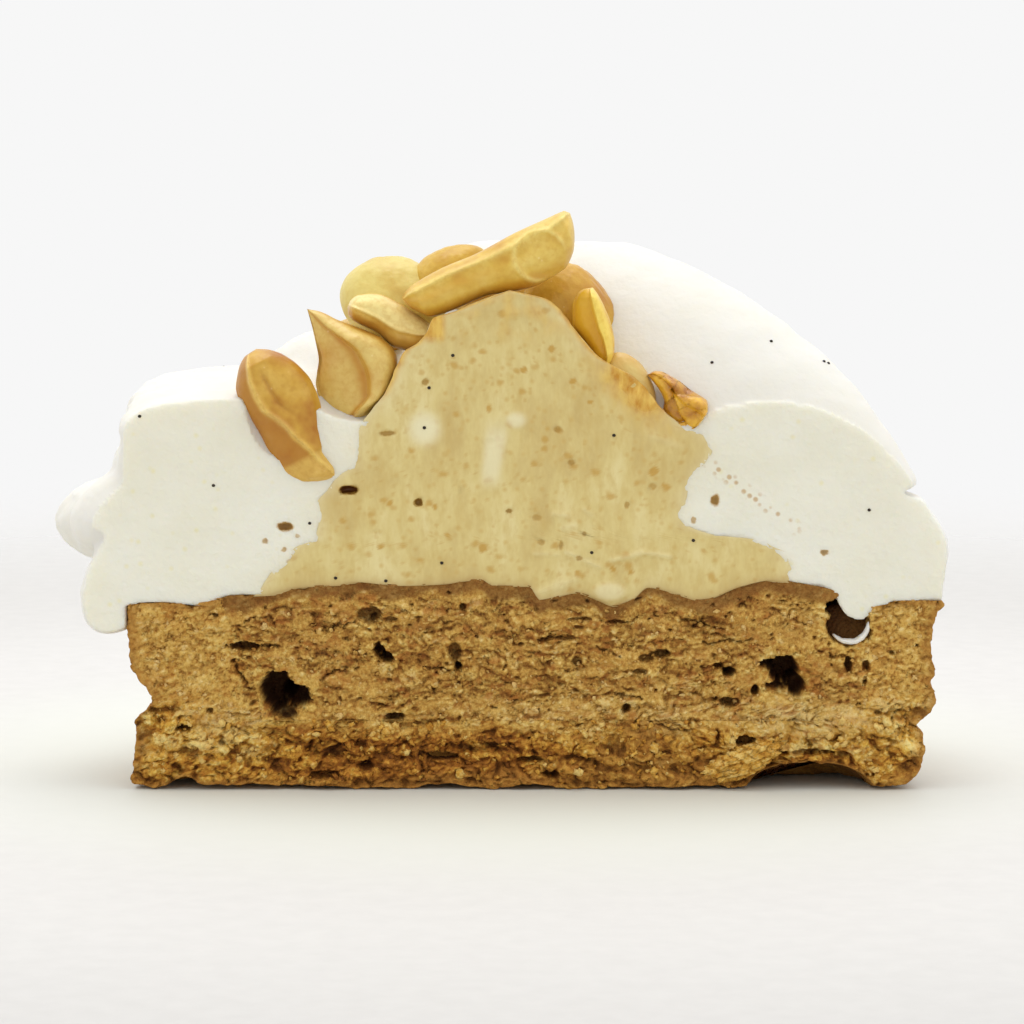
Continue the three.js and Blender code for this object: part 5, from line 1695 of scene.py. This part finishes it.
def peanut_finish(name, *colours):
    """Colours from pale to golden to brown."""
    pale, golden, brown = [linear(*colour) for colour in colours]
    finish, tree, shader, place = new_finish(name, Specular_IOR_Level=0.35, Coat_Weight=0.12,
                                             Coat_Roughness=0.2)
    cloud, fine = noise_at(tree, place, 4.5, 3), noise_at(tree, place, 0.6, 3)
    # pale specks, partly salt and partly painted glints of oil
    flakes = maths(tree, "MULTIPLY", sum_of(tree, cells_at(tree, place, 0.8), -7.0, 1.3),
                   sum_of(tree, cloud, 6.0, -3.4))
    colour = ramp(tree, cloud, (0.3, brown), (0.52, golden), (0.72, mixed_colour(golden, pale, 0.5)))
    colour = layered(
        # the groove layer brings brown, which on the nuts at the cut is partly painted shade
        tree, colour, ("groove", 0.85, 0.0, brown), ("rim", 0.85, 0.0, pale), ("tip", 0.35, 0.0, pale),
        (fine, 1.4, -0.6, mixed_colour(golden, brown, 0.6)),
        (flakes, 1.0, 0.0, mixed_colour(pale, linear(255, 246, 214), 0.4)))
    return finished(finish, tree, shader, colour, sum_of(tree, cloud, 0.3, 0.22), fine, 0.06)


def caramel_finish():
    finish, tree, shader, place = new_finish("caramel", Specular_IOR_Level=0.5, Coat_Weight=0.25,
                                             Coat_Roughness=0.15)
    cloud, fine = noise_at(tree, place, 1.8, 3), noise_at(tree, place, 0.5, 3)
    colour = ramp(tree, cloud, (0.35, (176, 112, 16)), (0.5, (214, 156, 32)), (0.68, (234, 184, 52)))
    colour = layered(tree, colour, ("dark", 0.45, 0.0, (152, 88, 12)))
    return finished(finish, tree, shader, colour, sum_of(tree, cloud, 0.4, 0.15), fine, 0.12)


def seed_finish():
    finish, tree, shader, place = new_finish("vanilla_seed", Specular_IOR_Level=0.4)
    fine = noise_at(tree, place, 0.2, 2)
    colour = ramp(tree, fine, (0.3, (24, 18, 14)), (0.7, (52, 40, 30)))
    return finished(finish, tree, shader, colour, sum_of(tree, fine, 0.4, 0.4), fine, 0.03)


NUT_COLOURS = {
    "peanut_left": ((240, 206, 112), (206, 160, 58), (170, 102, 12)),
    "peanut_split": ((230, 204, 124), (208, 170, 76), (190, 124, 26)),
    "peanut_round": ((226, 210, 132), (220, 200, 114), (204, 170, 78)),
    "peanut_small": ((244, 226, 152), (222, 186, 92), (186, 130, 42)),
    "peanut_behind": ((226, 194, 92), (210, 170, 62), (186, 134, 32)),
    "peanut_top": ((242, 220, 130), (220, 182, 74), (192, 132, 28)),
    "peanut_right": ((222, 190, 86), (204, 158, 52), (184, 124, 22)),
    "peanut_edge": ((252, 226, 114), (233, 194, 60), (212, 154, 26)),
    "peanut_sunk": ((226, 204, 132), (214, 186, 112), (208, 166, 84)),
    "peanut_rear_left": ((232, 204, 128), (212, 172, 84), (186, 132, 50)),
    "peanut_rear": ((232, 204, 128), (214, 176, 90), (188, 134, 54)),
}
CARAMEL, SEED = caramel_finish(), seed_finish()
print("colours for", len(NUT_COLOURS), "peanuts")

# %% [markdown]
# ## Dressing the frame
#
# Each piece rides on the tart's one body, and the CAD solids that it stands for are hidden.

# %% Dress every piece
for piece in (crust_cut, crust_round, flake, crumbs):
    dress(piece, PASTRY, "crust", "tart_crust")
for piece in (filling, fine_crumbs):
    dress(piece, SPONGE, "baked_filling", "baked_filling")
dress(dome, PEANUT_CREAM, "peanut_cream", "peanut_cream")
for piece, finish in ((whipped, WHIPPED_CREAM), (smear, WHIPPED_CREAM), (seeds, SEED)):
    dress(piece, finish, "whipped_cream", "whipped_cream")
for name, piece in peanuts.items():
    dress(piece, peanut_finish(name.replace("peanut", "nut"), *NUT_COLOURS[name]), "peanut", name)
dress(caramel, CARAMEL, "caramel", "caramel_crumb")
print("materials:", len(bpy.data.materials))

# %% [markdown]
# ## Table, light and camera
#
# The photograph has a white surface that runs into a white background. A plane with an edge would
# show, so the table is a disc that turns clear towards its rim, where the white world takes over.
# Near the slice it is painted a little brighter, a painted light that lifts the shade the slice casts on it.

# %% Table
TABLE_REACH = 420.0     # mm from the middle to the rim


def table_rings(rows=60, columns=96):
    """A flat disc just below the slice's lowest point, with rings from the middle outwards, and
    back underneath as a closed sheet."""
    radius, turn = np.linspace(1.0, TABLE_REACH, rows)[:, None], full_turn(columns)
    top = np.stack([radius * np.cos(turn), radius * np.sin(turn), 0 * radius * turn - 0.02], -1)
    under = np.array([0, 0, 2.0])
    return np.concatenate([top, top[-1:] - under, top[:1] - under])


table = put_stack("table", table_rings() + SLICE_CENTRE * np.array([1, 1, 0]))
finish, tree, shader, place = new_finish("white_table", Specular_IOR_Level=0.3, Roughness=0.7)
paper, far = noise_at(tree, place, 3, 3), vectors(tree, "LENGTH", place)
# painted light: the table is lighter within some 35 to 85 mm of the middle, to soften the slice's contact
# shadow
near = stretched(tree, far, 0.035, 0.085, 1.0, 0.0, interpolation_type="SMOOTHSTEP")
white = ramp(tree, paper, (0.3, (209, 207, 204)), (0.7, (213, 211, 208)))
finished(finish, tree, shader, mixed(tree, near, white, (221, 223, 215)), None, paper, 0.02)
fade = stretched(tree, far, 0.08, 0.33, interpolation_type="SMOOTHSTEP")
clear = node(tree, "BsdfTransparent").outputs[0]
faded = node(tree, "MixShader", {0: fade, 1: shader.outputs[0], 2: clear}).outputs[0]
tree.links.new(faded, tree.nodes["Material Output"].inputs["Surface"])
table.data.materials.append(finish)

# %% [markdown]
# The light in the photograph is soft and comes from above and behind, so the cut face lies in an
# even, soft shade. Lamps alone would cast hard shadows. The world is a white sky instead, with
# the background's level at the horizon, brighter overhead and dimmer behind the camera, and one
# large lamp above lifts the top of the cream.

# %% World and lamp
SKY_HORIZON, SKY_TOP, SKY_FRONT = 0.93, 1.5, 0.88
scene = bpy.context.scene
scene.view_settings.view_transform = "Standard"
world = bpy.data.worlds.new("white_studio")
scene.world = world
world.use_nodes = True
tree = world.node_tree
towards = node(tree, "SeparateXYZ", {0: node(tree, "TexCoord").outputs["Generated"]})
high = stretched(tree, towards.outputs["Z"], 0.12, 0.9)
front = stretched(tree, towards.outputs["Y"], -0.7, 0.2, SKY_FRONT, SKY_TOP)
rise = stretched(tree, towards.outputs["Z"], 0.10, 0.25)
level = node(tree, "Mix", {0: high, 2: SKY_HORIZON, 3: SKY_TOP}).outputs[0]
level = maths(tree, "MINIMUM", level, front)
level = node(tree, "Mix", {0: rise, 2: SKY_HORIZON, 3: level}).outputs[0]
tree.links.new(level, tree.nodes["Background"].inputs["Strength"])
tree.nodes["Background"].inputs["Color"].default_value = (1.0, 1.0, 1.0, 1.0)


def soft_lamp(name, place, aim, size, power):
    """A square area lamp of the given size in metres, at place, pointing at aim."""
    lamp = bpy.data.lights.new(name, "AREA")
    lamp.shape, lamp.size, lamp.energy = "SQUARE", size, power
    made = bpy.data.objects.new(name, lamp)
    scene.collection.objects.link(made)
    made.location = place
    made.rotation_euler = (Vector(aim) - Vector(place)).to_track_quat("-Z", "Y").to_euler()
    return made


lamp_above = soft_lamp("lamp_above", (-0.02, 0.10, 0.62), (0, 0, 0.03), 0.40, 1.1)
print("one lamp of", round(lamp_above.data.energy, 2), "W under a sky from", SKY_FRONT, "to", SKY_TOP)

# %% [markdown]
# The camera stands 6 degrees above the table, straight in front of the cut, with a long lens, so
# that the slice looks as flat as it does in the photograph.

# %% Camera
CAMERA_PLACE = (0.0017, -0.4397, 0.0735)
CAMERA_ABOVE = 6        # degrees that it looks down
LENS = 140.3            # mm
camera_data = bpy.data.cameras.new("camera")
camera_data.lens = LENS
camera = bpy.data.objects.new("camera", camera_data)
scene.collection.objects.link(camera)
camera.location = CAMERA_PLACE
camera.rotation_euler = (math.radians(90 - CAMERA_ABOVE), 0, 0)
scene.camera = camera
print("camera at", tuple(round(v, 4) for v in camera.location))
